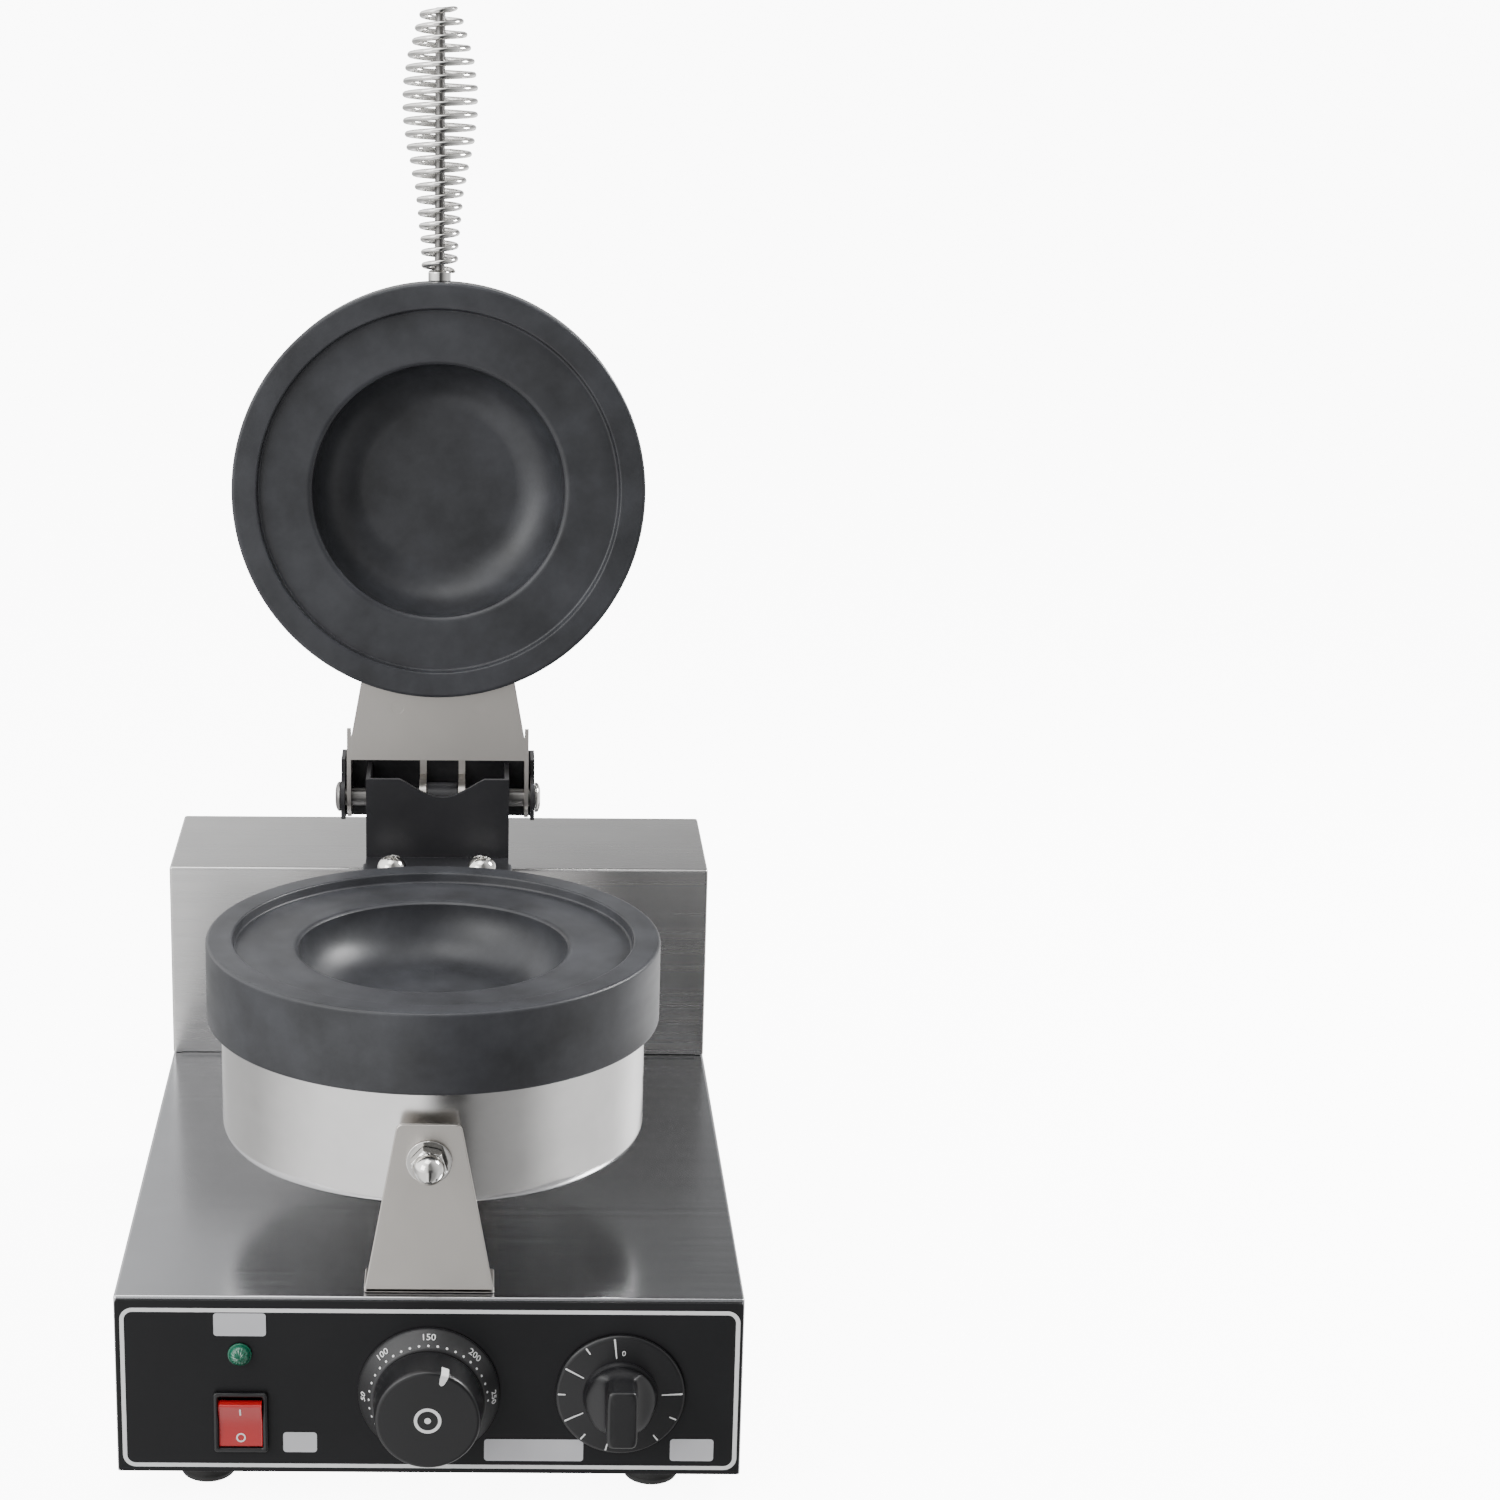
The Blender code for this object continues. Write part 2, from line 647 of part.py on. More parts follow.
def build_support(base, name, y, toward_back, nut):
    """An upright bracket on the deck, with its foot turned back, and its stud."""
    foot = DECK_Z + GAP
    top = 0.1588
    bolt_z = 0.1435
    half_base = 0.0258
    half_top = 0.01265
    thick = 0.002
    corner = 0.002
    loop = [
        (-half_base, foot), (half_base, foot), (half_top, top - corner),
        (half_top - corner, top), (corner - half_top, top), (-half_top, top - corner),
    ]
    sign = 1 if toward_back else -1
    bracket = outline(
        name + "_support_bracket", [loop, circle((0, bolt_z), 0.0033)], thick, "brushed_steel", base,
        (0, y, 0), TO_FRONT,
    )
    toe = box(
        name + "_support_toe",
        (-half_base, min(y, y + sign * 0.018), foot), (half_base, max(y, y + sign * 0.018), foot + thick),
        None, base,
    )
    boolean(bracket, toe, "UNION")
    shell_wall = MOULD_Y - sign * LOWER_SHELL_RADIUS
    reach = abs(shell_wall - y) - GAP
    collar = 0.0060
    shank = 0.0029
    profile = [
        (collar, reach), (collar, thick / 2 + GAP), (shank, thick / 2 + GAP), (shank, -0.0075),
        (0.0, -0.0075), (0.0, reach),
    ]
    turn = ALONG_Y if toward_back else TO_FRONT
    turned(name + "_support_stud", profile, "zinc", base, (0, y, bolt_z), turn, sides=SMALL)
    if nut:
        washer = [
            (0.0090, -0.0013), (0.0090, -0.0023), (0.0032, -0.0023), (0.0032, -0.0013),
        ]
        turned("front_washer", washer, "chrome", base, (0, y, bolt_z), turn, sides=SMALL)
        build_acorn_nut(base, (0, y - 0.0026, bolt_z))


def build_acorn_nut(base, seat):
    """Hexagon nut with a domed cap, seated at a point and facing the front."""
    profile = [(0.0, 0.0130)]
    profile += [
        (0.0063 * math.sin(math.radians(a)), 0.0067 + 0.0063 * math.cos(math.radians(a)))
        for a in range(18, 91, 18)
    ]
    profile += [(0.0063, 0.0020), (0.0, 0.0020)]
    nut = turned("front_acorn_nut", profile, "chrome", base, seat, TO_FRONT, sides=SMALL)
    hexagon = outline(
        "nut_flats", [circle((0, 0), 0.0075, 6)], 0.0055, None, base,
        (seat[0], seat[1] - 0.00305, seat[2]), TO_FRONT,
    )
    boolean(nut, hexagon, "UNION")
    cut_cylinder(nut, "nut_bore", 0.0032, 0.0100, (seat[0], seat[1] - 0.0006, seat[2]), ALONG_Y, SMALL)


# ----------------------------------------------------------------- hinge


def side_sheet(name, loops, low_x, high_x, finish, parent, origin=(0, 0, 0)):
    """A sheet in the side view: loops of (y, z), thick from low_x to high_x."""
    x = (low_x + high_x) / 2 - origin[0]
    return outline(
        name, loops, high_x - low_x, finish, parent, (x, -origin[1], -origin[2]),
        (math.radians(90), 0, math.radians(90)),
    )


def build_hinge_bracket(base):
    """Black folded bracket on the lower plate's lug, carrying the pin."""
    half = 0.032
    thick = 0.002
    web_y = 0.225
    foot_z = 0.1960
    top = HINGE_Z + 0.0125
    notch_depth = 0.0084
    notch_half = 0.019
    notch_flatness = 0.6
    steps = 16
    notch = []
    for i in range(steps + 1):
        across = 1 - 2 * i / steps
        dip = ((1 + math.cos(math.pi * across)) / 2) ** notch_flatness
        notch.append((LUG_X + notch_half * across, top - notch_depth * dip))
    bracket = outline(
        "hinge_bracket", [[(-half, foot_z), (half, foot_z), (half, top)] + notch + [(-half, top)]],
        thick, "black_paint", base, (0, web_y + thick / 2, 0), TO_FRONT,
    )
    foot = outline(
        "bracket_foot",
        [[(-half, 0.197), (half, 0.197), (half, 0.2265), (-half, 0.2265)]]
        + [circle((side * 0.020, 0.2060), 0.0031) for side in (-1, 1)],
        thick, None, base, (0, 0, foot_z + thick / 2),
    )
    boolean(bracket, foot, "UNION")
    rear = 0.2526
    low = 0.2095
    high = 0.2400
    outer = 0.0435
    boolean(
        bracket,
        box("bracket_rear", (-outer, rear, low), (outer, rear + thick, high), None, base),
        "UNION",
    )
    hole = circle((HINGE_Y, HINGE_Z), PIN_HOLE, SMALL)
    front_edge = web_y + thick / 2
    back_edge = rear + thick / 2
    inner_loop = [
        (front_edge, foot_z + thick / 2), (back_edge, low), (back_edge, top), (front_edge, top),
    ]
    outer_loop = [(back_edge, low), (back_edge, high), (HINGE_Y - 0.002, high)]
    outer_loop += arc((HINGE_Y, HINGE_Z), 0.0105, 100.0, 262.0, 8)
    for side, name in ((-1, "left"), (1, "right")):
        inner = sorted((side * half, side * (half - thick)))
        cheek = side_sheet(f"inner_cheek_{name}", [inner_loop, hole], *inner, None, base)
        boolean(bracket, cheek, "UNION")
        ends = sorted((side * outer, side * (outer - 0.0018)))
        cheek = side_sheet(f"outer_cheek_{name}", [outer_loop, hole], *ends, None, base)
        boolean(bracket, cheek, "UNION")


def pan_screw(name, radius, head, length, parent, location, rotation=(0, 0, 0), shank=0.0026):
    """A pan-head screw whose head sits on the plane of its location."""
    profile = [(0.0, head)]
    profile += [
        (radius * math.sin(math.radians(a)), GAP + (head - GAP) * math.cos(math.radians(a)))
        for a in range(20, 81, 20)
    ]
    profile += [(radius, GAP), (shank, GAP), (shank, -length), (0.0, -length)]
    return turned(name, profile, "chrome", parent, location, rotation, sides=SMALL)


def build_hinge(base):
    """The bracket's screws, the pin with its head, the cap and the spacer."""
    build_hinge_bracket(base)
    for side, name in ((-1, "left"), (1, "right")):
        pan_screw(
            "hinge_bracket_screw_" + name, 0.0065, 0.0070, 0.0110, base, (side * 0.020, 0.2060, 0.1980)
        )
    end = 0.0442
    head = 0.0463
    pin = [
        (0.0, -end), (PIN_RADIUS, -end), (PIN_RADIUS, 0.0438), (0.0068, 0.0438),
        (0.0064, 0.0454), (0.0040, head), (0.0, head),
    ]
    pin.reverse()
    turn = (0, math.radians(-90), 0)
    turned("hinge_pin", pin, "chrome", base, (0, HINGE_Y, HINGE_Z), turn, SMALL)
    cap = [
        (0.0, head), (0.0040, head), (0.0064, 0.0454), (0.0068, 0.0438), (0.0043, 0.0438),
        (0.0043, 0.0445), (0.0, 0.0445),
    ]
    turned("hinge_pin_cap", cap, "chrome", base, (0, HINGE_Y, HINGE_Z), ALONG_X, SMALL)
    inner = LUG_SPREAD - LUG_THICK / 2 - GAP
    spacer = [(0.0065, inner), (0.0065, -inner), (0.0043, -inner), (0.0043, inner)]
    turned("hinge_spacer", spacer, "zinc", base, (LUG_X, HINGE_Y, HINGE_Z), ALONG_X, SMALL)


# ------------------------------------------------------------- upper mould


def lid_point(x, y, z):
    """A point of the closed lid, measured from the hinge axis."""
    return (x, y - HINGE_Y, z - HINGE_Z)


def build_upper_mould(lid):
    """Moving mould: plate with its rear lug, shell, heater and insulation."""
    top = UPPER_FACE_Z + PLATE_THICK
    plate = turned(
        "upper_mould_plate", plate_profile(UPPER_RADIUS, UPPER_FACE_Z, top, False), "nonstick", lid,
        lid_point(0, MOULD_Y, 0), sides=MOULD_SIDES,
    )
    lug = box("upper_lug", lid_point(-0.026, 0.182, 0.2136), lid_point(0.026, 0.203, 0.2260), None, lid)
    boolean(plate, lug, "UNION")
    for side in (-1, 1):
        cut_cylinder(plate, f"upper_lug_hole_{side}", 0.0029, 0.030, lid_point(side * 0.018, 0.1975, 0.220))
    front = MOULD_Y - UPPER_RADIUS
    cut_cylinder(
        plate, "rod_socket", ROD_RADIUS + GAP, 0.024, lid_point(0, front, handle_z()), ALONG_Y, 12
    )
    shell_low = top + GAP
    shell = build_shell(
        "upper_shell", UPPER_SHELL_RADIUS, shell_low, shell_low + UPPER_SHELL_HEIGHT, False, lid,
        lid_point(0, MOULD_Y, 0),
    )
    cut_cylinder(
        shell, "upper_shell_lead_hole", 0.0061, 0.010, lid_point(0, 0.140, shell_low + UPPER_SHELL_HEIGHT)
    )
    x, y, z = lid_point(0, MOULD_Y, 0)
    build_heating("upper", top + z, 0.0, 1, lid, (x, y))


def build_upper_bracket(lid):
    """Folded steel bracket from the upper plate's lug to the pin."""
    web_low = HINGE_Z - 0.0105
    thick = 0.0018
    end_y = HINGE_Y - 0.0186
    half_end = 0.0406
    half_rim = 0.0342
    clear = UPPER_RADIUS + GAP
    angle = math.degrees(math.asin(half_rim / clear))
    rim = arc((0, MOULD_Y), clear, 90.0 - angle, 90.0 + angle, 12)
    holes = [circle((side * 0.018, 0.1975), 0.0029, 16) for side in (-1, 1)]
    web = outline(
        "upper_hinge_bracket",
        [[(half_end, end_y)] + rim + [(-half_end, end_y)]] + holes,
        thick, "brushed_steel", lid, lid_point(0, 0, web_low + thick / 2),
    )
    flange_x = 0.0407
    flange = [
        (end_y - 0.014, web_low), (end_y - 0.014, web_low + 0.003), (end_y, web_low + 0.0165),
    ]
    flange += arc((HINGE_Y, HINGE_Z), 0.0090, 100.0, -90.0, 12)
    flange += [(end_y, web_low)]
    hole = circle((HINGE_Y, HINGE_Z), PIN_HOLE, SMALL)
    lug_low = HINGE_Z + 0.0081
    lug_high = HINGE_Z + 0.0106
    lug = [
        (end_y - 0.018, web_low + 0.001), (end_y - 0.018, web_low + 0.012),
        (end_y - 0.010, lug_high - 0.0012), (HINGE_Y - 0.001, lug_high),
    ]
    lug += arc((HINGE_Y, HINGE_Z), 0.0085, 60.0, -200.0, 14)
    lug += [(HINGE_Y - 0.009, lug_low), (end_y - 0.001, lug_low), (end_y - 0.001, web_low + 0.001)]
    origin = (0, HINGE_Y, HINGE_Z)
    for side, name in ((-1, "left"), (1, "right")):
        edges = sorted((side * flange_x, side * (flange_x - thick)))
        part = side_sheet(f"bracket_flange_{name}", [flange, hole], *edges, None, lid, origin)
        boolean(web, part, "UNION")
        middle = LUG_X + side * LUG_SPREAD
        edges = (middle - LUG_THICK / 2, middle + LUG_THICK / 2)
        part = side_sheet(f"bracket_lug_{name}", [lug, hole], *edges, None, lid, origin)
        boolean(web, part, "UNION")
        inner = sorted((middle + side * 0.004, side * (flange_x - 0.001)))
        lip = box(
            f"bracket_lip_{name}",
            lid_point(inner[0], end_y - thick, web_low + 0.001),
            lid_point(inner[1], end_y, web_low + 0.0035), None, lid,
        )
        boolean(web, lip, "UNION")
        pan_screw(
            "upper_bracket_screw_" + name, 0.0052, 0.0034, 0.0140, lid,
            lid_point(side * 0.018, 0.1975, 0.2260),
        )


def handle_z():
    """Height of the handle's axis on the closed lid, half way up the upper plate."""
    return UPPER_FACE_Z + PLATE_THICK / 2


def coil_radius(t):
    """Radius of the coil's centre line at t from 0 at the mould to 1 at the tip."""
    place_on_list = t * (len(COIL_RADII) - 1)
    i = min(int(place_on_list), len(COIL_RADII) - 2)
    part = place_on_list - i
    blend = (1 - math.cos(math.pi * part)) / 2
    return COIL_RADII[i] + (COIL_RADII[i + 1] - COIL_RADII[i]) * (part + blend) / 2 - WIRE_RADIUS


def build_handle(lid):
    """Cool-touch handle: a rod, its ferrule at the mould and a barrel-shaped coil."""
    front = MOULD_Y - UPPER_RADIUS
    root = front - HANDLE_START
    tip = root - HANDLE_LENGTH
    z = handle_z()
    rod_back = front + 0.0110
    cylinder(
        "handle_rod", ROD_RADIUS, rod_back - tip - 0.001, "chrome", lid,
        lid_point(0, (rod_back + tip + 0.001) / 2, z), ALONG_Y, 8,
    )
    bore = ROD_RADIUS + GAP
    ferrule = [
        (0.0043, 0.0050), (0.0050, 0.0042), (0.0050, GAP), (bore, GAP), (bore, 0.0050),
    ]
    turned("handle_ferrule", ferrule, "chrome", lid, lid_point(0, front, z), TO_FRONT, SMALL)
    curve = bpy.data.curves.new("handle_coil", "CURVE")
    curve.dimensions = "3D"
    curve.bevel_depth = WIRE_RADIUS
    curve.bevel_resolution = 2
    curve.use_fill_caps = True
    spline = curve.splines.new("POLY")
    count = COIL_TURNS * COIL_STEPS + 1
    spline.points.add(count - 1)
    travel = HANDLE_LENGTH - 2 * WIRE_RADIUS
    for i, point in enumerate(spline.points):
        t = i / (count - 1)
        turn = 2 * math.pi * i / COIL_STEPS
        radius = coil_radius(t)
        point.co = (
            radius * math.cos(turn), -WIRE_RADIUS - travel * t, radius * math.sin(turn), 1.0
        )
    guide = bpy.data.objects.new("handle_coil_path", curve)
    smooth(as_mesh("handle_coil", guide, "chrome", lid, lid_point(0, root, z)))


def main():
    """Build the whole appliance, with the lid open."""
    footprint = -(FRONT_Y + BACK_Y) / 2
    base = empty("base_frame", (0, footprint, 0))
    lid = empty("lid_frame", (0, HINGE_Y, HINGE_Z), base)
    lid.rotation_euler = (-OPEN_ANGLE, 0, 0)
    rocker = empty("rocker_frame", (SWITCH_X, 0.0, SWITCH_Z), base)
    thermostat = empty("thermostat_frame", (THERMOSTAT_X, 0, KNOB_Z), base)
    timer = empty("timer_frame", (TIMER_X, 0, KNOB_Z), base)
    build_housing(base)
    build_base_plate(base)
    build_feet(base)
    build_front_panel(base)
    build_rear_cover(base)
    build_glands(base, lid)
    build_terminal_block(base)
    build_switch(base, rocker)
    rocker.location.y = 0.0025
    rocker.rotation_euler = (SWITCH_ANGLE, 0, 0)
    build_lamp(base)
    build_thermostat(base, thermostat)
    build_timer(base, timer)
    build_lower_mould(base)
    build_support(base, "front", 0.006, True, True)
    build_support(base, "rear", 0.1965, False, False)
    build_hinge(base)
    build_upper_mould(lid)
    build_upper_bracket(lid)
    build_handle(lid)
    bpy.context.view_layer.update()


clear_scene()
PARTS = collection("donut_press")
CUTTERS = collection("cutters", helper=True)
main()
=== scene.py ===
"""Visual model of a single-head bun and donut press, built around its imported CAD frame.

Metres, +Z up. Sizes are given in the working frame of the press: x = 0 is its middle,
y = 0 the face of the control panel with +y to the back, and z = 0 the worktop. The lid
is drawn closed and turned open about the hinge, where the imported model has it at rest.
"""

import json
import logging
import math
from dataclasses import dataclass, field
from enum import Enum
from typing import Sequence

import bmesh
import bpy
import numpy as np
from mathutils import Matrix, Vector
from mathutils.geometry import tessellate_polygon


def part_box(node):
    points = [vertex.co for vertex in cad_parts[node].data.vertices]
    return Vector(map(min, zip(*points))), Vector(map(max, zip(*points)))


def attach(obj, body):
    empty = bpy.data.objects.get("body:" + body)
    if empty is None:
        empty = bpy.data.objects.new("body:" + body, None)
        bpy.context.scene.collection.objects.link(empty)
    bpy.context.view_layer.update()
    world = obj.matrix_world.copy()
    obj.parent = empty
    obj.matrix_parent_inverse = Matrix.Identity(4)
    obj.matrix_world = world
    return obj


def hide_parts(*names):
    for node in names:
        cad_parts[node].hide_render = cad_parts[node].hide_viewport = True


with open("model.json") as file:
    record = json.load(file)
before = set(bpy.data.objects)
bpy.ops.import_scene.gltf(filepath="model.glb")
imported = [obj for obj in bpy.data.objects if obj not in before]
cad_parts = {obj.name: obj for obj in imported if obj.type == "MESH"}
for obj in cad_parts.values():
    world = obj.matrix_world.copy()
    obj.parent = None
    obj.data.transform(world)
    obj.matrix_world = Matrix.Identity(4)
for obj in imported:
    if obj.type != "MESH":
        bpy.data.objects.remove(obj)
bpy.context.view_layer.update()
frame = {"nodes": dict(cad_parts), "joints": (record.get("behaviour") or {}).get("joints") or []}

Array = np.ndarray
Point2 = tuple[float, float]
Point3 = tuple[float, float, float]

GAP = 0.0003  # air between two solids that meet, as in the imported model
WELD = 0.000002  # points nearer than this become one
RIGHT_ANGLE = np.pi / 2  # this angle and the next two are in radians
FLAT_WITHIN = math.radians(0.5)  # faces of a CAD sheet that bend less are one face
EASED_FROM = math.radians(40)  # edges of a CAD sheet that bend more are eased
NUMERAL_SHARE = 0.7  # height of a numeral as a share of its text size
LARGE = 192  # divisions round the plates and their shells
DIAL = 144  # divisions round the knobs
NOISE_RANGE = (0.3, 0.7)  # where nearly all of a noise's values lie
log = logging.getLogger("donut_press")


# ------------------------------------------------------------------ surfaces


def rotation(axis: str, degrees: float) -> Array:
    """Matrix of a right-handed turn.

    Args:
        axis: The axis of the turn, "x" or "z".
        degrees: The angle.

    Returns:
        The 3 by 3 matrix.
    """
    c, s = math.cos(math.radians(degrees)), math.sin(math.radians(degrees))
    if axis == "x":
        return np.array(((1, 0, 0), (0, c, -s), (0, s, c)))
    return np.array(((c, -s, 0), (s, c, 0), (0, 0, 1)))


class Facing(Enum):
    """Which way the own z axis of a piece points; the rows turn its x, y and z."""

    UP = ((1, 0, 0), (0, 1, 0), (0, 0, 1))
    FRONT = ((1, 0, 0), (0, 0, -1), (0, 1, 0))
    BACK = ((1, 0, 0), (0, 0, 1), (0, -1, 0))
    RIGHT = ((0, 0, 1), (1, 0, 0), (0, 1, 0))
    LEFT = ((0, 0, -1), (-1, 0, 0), (0, 1, 0))


@dataclass
class Patch:
    """A surface as points, faces that index them, and a UV place for each point."""

    points: Array
    faces: list[list[int]]
    uv: Array

    def placed(self, centre: Point3, facing: Facing = Facing.UP, spin: float = 0.0) -> "Patch":
        """The patch spun about its own z, turned to face a side and moved to a centre.

        Args:
            centre: Where its origin goes, in the working frame.
            facing: The side that its own z axis points to.
            spin: Degrees that it turns about its own z first, clockwise seen from above it.

        Returns:
            The moved patch.
        """
        matrix = np.array(facing.value, float) @ rotation("z", -spin)
        return Patch(self.points @ matrix.T + np.array(centre), self.faces, self.uv)

    def tilted(self, angle: float) -> "Patch":
        """The patch turned by an angle in degrees about the x axis."""
        return Patch(self.points @ rotation("x", angle).T, self.faces, self.uv)


def grid_faces(rows: int, columns: int) -> list[list[int]]:
    """Quads of a grid of points that are stored row after row.

    Args:
        rows: Rows of points.
        columns: Points in a row.

    Returns:
        The quads, each four indices of points.
    """
    index = np.arange(rows * columns).reshape(rows, columns)
    quads = np.stack((index[:-1, :-1], index[1:, :-1], index[1:, 1:], index[:-1, 1:]), axis=-1)
    return quads.reshape(-1, 4).tolist()


def grid_patch(points: Array, uv: Array) -> Patch:
    """A patch from a grid of points (rows, columns, 3) and its UV grid (rows, columns, 2)."""
    return Patch(points.reshape(-1, 3), grid_faces(*points.shape[:2]), uv.reshape(-1, 2))


def lengths_along(points: Array) -> Array:
    """Distance from the first point along a line of points, for each of them."""
    steps = np.linalg.norm(np.diff(points, axis=0), axis=1)
    return np.concatenate(([0.0], np.cumsum(steps)))


def arc(centre: Point2, radius: float, start: float, end: float, steps: int) -> Array:
    """Points on a circle: centre + radius (cos a, sin a), a in degrees from start to end."""
    angle = np.radians(np.linspace(start, end, steps + 1))
    return np.array(centre) + radius * np.stack((np.cos(angle), np.sin(angle)), axis=1)


def eased(points: Sequence[Point2], radii: float | Sequence[float], steps: int = 4) -> Array:
    """A line of points with each inner corner replaced by a curve.

    A corner p between a and b becomes (1-t)^2 a + 2t(1-t) p + t^2 b, where a and b lie a
    radius away from p on its two sides.

    Args:
        points: The corners, with the two ends.
        radii: One reach for all corners, or one for each inner corner.
        steps: Divisions of each curve.

    Returns:
        The eased line, an array of 2D points.
    """
    line = np.array(points, float)
    corner = line[1:-1]
    reach = np.broadcast_to(np.array(radii, float), len(corner))[:, None]
    before, after = line[:-2] - corner, line[2:] - corner
    before_length = np.linalg.norm(before, axis=1, keepdims=True)
    after_length = np.linalg.norm(after, axis=1, keepdims=True)
    start = corner + before / before_length * np.minimum(reach, before_length * 0.49)
    end = corner + after / after_length * np.minimum(reach, after_length * 0.49)
    t = np.linspace(0, 1, steps + 1)[None, :, None]
    curve = (1 - t) ** 2 * start[:, None] + 2 * t * (1 - t) * corner[:, None] + t**2 * end[:, None]
    return np.concatenate((line[:1], curve.reshape(-1, 2), line[-1:]))


def revolved(profile: Array, sides: int = 96, start: float = 90.0) -> Patch:
    """A turned surface: (radius, height) at angle t goes to (r cos t, r sin t, height).

    Args:
        profile: Points of (radius, height), from one end of the surface to the other.
        sides: Divisions round the axis.
        start: Angle of the seam in degrees.

    Returns:
        The patch; U is the angle in radians and V the length along the profile.
    """
    angle = np.radians(start) + np.linspace(0, 2 * np.pi, sides + 1)
    radius, height = profile[:, 0:1], profile[:, 1:2]
    points = np.stack(
        (radius * np.cos(angle), radius * np.sin(angle), height + 0 * angle), axis=-1
    )
    v = lengths_along(profile)[:, None] + 0 * angle
    return grid_patch(points, np.stack((angle + 0 * v, v), axis=-1))


def loop_normals(loop: Array) -> Array:
    """Inward mitre of each corner of a closed loop whose inside is on its left.

    With unit normals m and n of the two sides, it is (m + n) / (|m + n|^2 / 2), so that a
    corner moved by it lies 1 inside both sides; a sharp corner's mitre is limited.

    Args:
        loop: The corners in order (n, 2).

    Returns:
        The mitres (n, 2).
    """
    ahead = np.roll(loop, -1, axis=0) - loop
    ahead /= np.linalg.norm(ahead, axis=1, keepdims=True)
    left = np.stack((-ahead[:, 1], ahead[:, 0]), axis=1)
    both = left + np.roll(left, 1, axis=0)
    return both / np.maximum((both * both).sum(axis=1, keepdims=True) / 2, 0.3)


def sheet(loops: Sequence[Array], thickness: float, edge: float, steps: int = 3) -> Patch:
    """A flat sheet from z = 0 to its thickness, with rounded edges round every loop.

    The rim is a half-round profile carried along each loop: at angle a the loop shrinks by
    edge (1 - sin a) and lies edge (1 - cos a) inside the face. The faces fill the rims.

    Args:
        loops: The outer loop anticlockwise, then the holes clockwise.
        thickness: Thickness of the sheet.
        edge: Radius of the rounded edges.
        steps: Divisions of each rounded edge.

    Returns:
        The closed sheet; its UV is its flat plan in metres.
    """
    angle = np.linspace(0, RIGHT_ANGLE, steps + 1)
    shrink = edge * (1 - np.sin(angle))
    rise = edge * (1 - np.cos(angle))
    inset = np.concatenate((shrink, shrink[::-1]))
    height = np.concatenate((rise, thickness - rise[::-1]))
    points, faces, plans = [], [], []
    low_rims, high_rims = [], []
    offset = 0
    for loop in loops:
        closed = np.concatenate((loop, loop[:1]))
        mitre = loop_normals(loop)
        mitre = np.concatenate((mitre, mitre[:1]))
        plan = closed[None] + mitre[None] * inset[:, None, None]
        level = np.broadcast_to(height[:, None, None], plan.shape[:2] + (1,))
        rows, columns = plan.shape[:2]
        points.append(np.concatenate((plan, level), axis=2).reshape(-1, 3))
        plans.append(plan.reshape(-1, 2))
        faces += (np.array(grid_faces(rows, columns)) + offset).tolist()
        low_rims.append(np.arange(columns - 1) + offset)
        high_rims.append(np.arange(columns - 1) + offset + (rows - 1) * columns)
        offset += rows * columns
    points = np.concatenate(points)
    rims = np.concatenate(low_rims), np.concatenate(high_rims)
    flat = [[Vector(p) for p in points[rim]] for rim in low_rims]
    fill = np.array(tessellate_polygon(flat))
    for rim in rims:
        faces += rim[fill].tolist()
    return Patch(points, faces, np.concatenate(plans))


def rounded_loop(width: float, height: float, radius: float, steps: int = 6) -> Array:
    """A rounded rectangle about the origin, anticlockwise, as a closed loop of points.

    Args:
        width: Its size in x.
        height: Its size in y.
        radius: Radius of its corners.
        steps: Divisions of each corner.

    Returns:
        The loop (n, 2), its first point not repeated.
    """
    x, y = width / 2 - radius, height / 2 - radius
    corners = ((x, y, 0), (-x, y, 90), (-x, -y, 180), (x, -y, 270))
    return np.concatenate([arc((cx, cy), radius, a, a + 90, steps) for cx, cy, a in corners])


def circle_loop(centre: Point2, radius: float, sides: int = 40) -> Array:
    """A hole's circle, clockwise."""
    return arc(centre, radius, 0, -360 + 360 / sides, sides - 1)


def disc_loop(radius: float, sides: int = 24) -> Array:
    """The edge of a disc about the origin, anticlockwise."""
    return arc((0, 0), radius, 0, 360 - 360 / sides, sides - 1)


def printed(loops: Sequence[Array], depth: float = 0.00012, edge: float = 0.00002) -> Patch:
    """A raised print: a very thin sheet with its edges just broken."""
    return sheet(loops, depth, edge, 1)


def tube(path: Array, across: Array, radius: Array, sides: int = 12) -> Patch:
    """A round wire along a path, its rings square to the path.

    A ring point is p + radius (n cos t + b sin t), where n and b are square to the path and
    n leans towards the given direction across it.

    Args:
        path: Points of the centre line (n, 3).
        across: A direction at each point that isn't along the path (n, 3).
        radius: Radius at each point; 0 closes an end.
        sides: Divisions round the wire.

    Returns:
        The wire; U is the angle round it and V the length along it.
    """
    along = np.gradient(path, axis=0)
    along /= np.maximum(np.linalg.norm(along, axis=1, keepdims=True), 1e-12)
    binormal = np.cross(along, across)
    binormal /= np.linalg.norm(binormal, axis=1, keepdims=True)
    normal = np.cross(binormal, along)
    angle = np.linspace(0, 2 * np.pi, sides + 1)[None, :, None]
    ring = normal[:, None] * np.cos(angle) + binormal[:, None] * np.sin(angle)
    points = path[:, None] + radius[:, None, None] * ring
    v = np.broadcast_to(lengths_along(path)[:, None], points.shape[:2])
    u = np.broadcast_to(angle[..., 0], points.shape[:2])
    return grid_patch(points, np.stack((u, v), axis=-1))


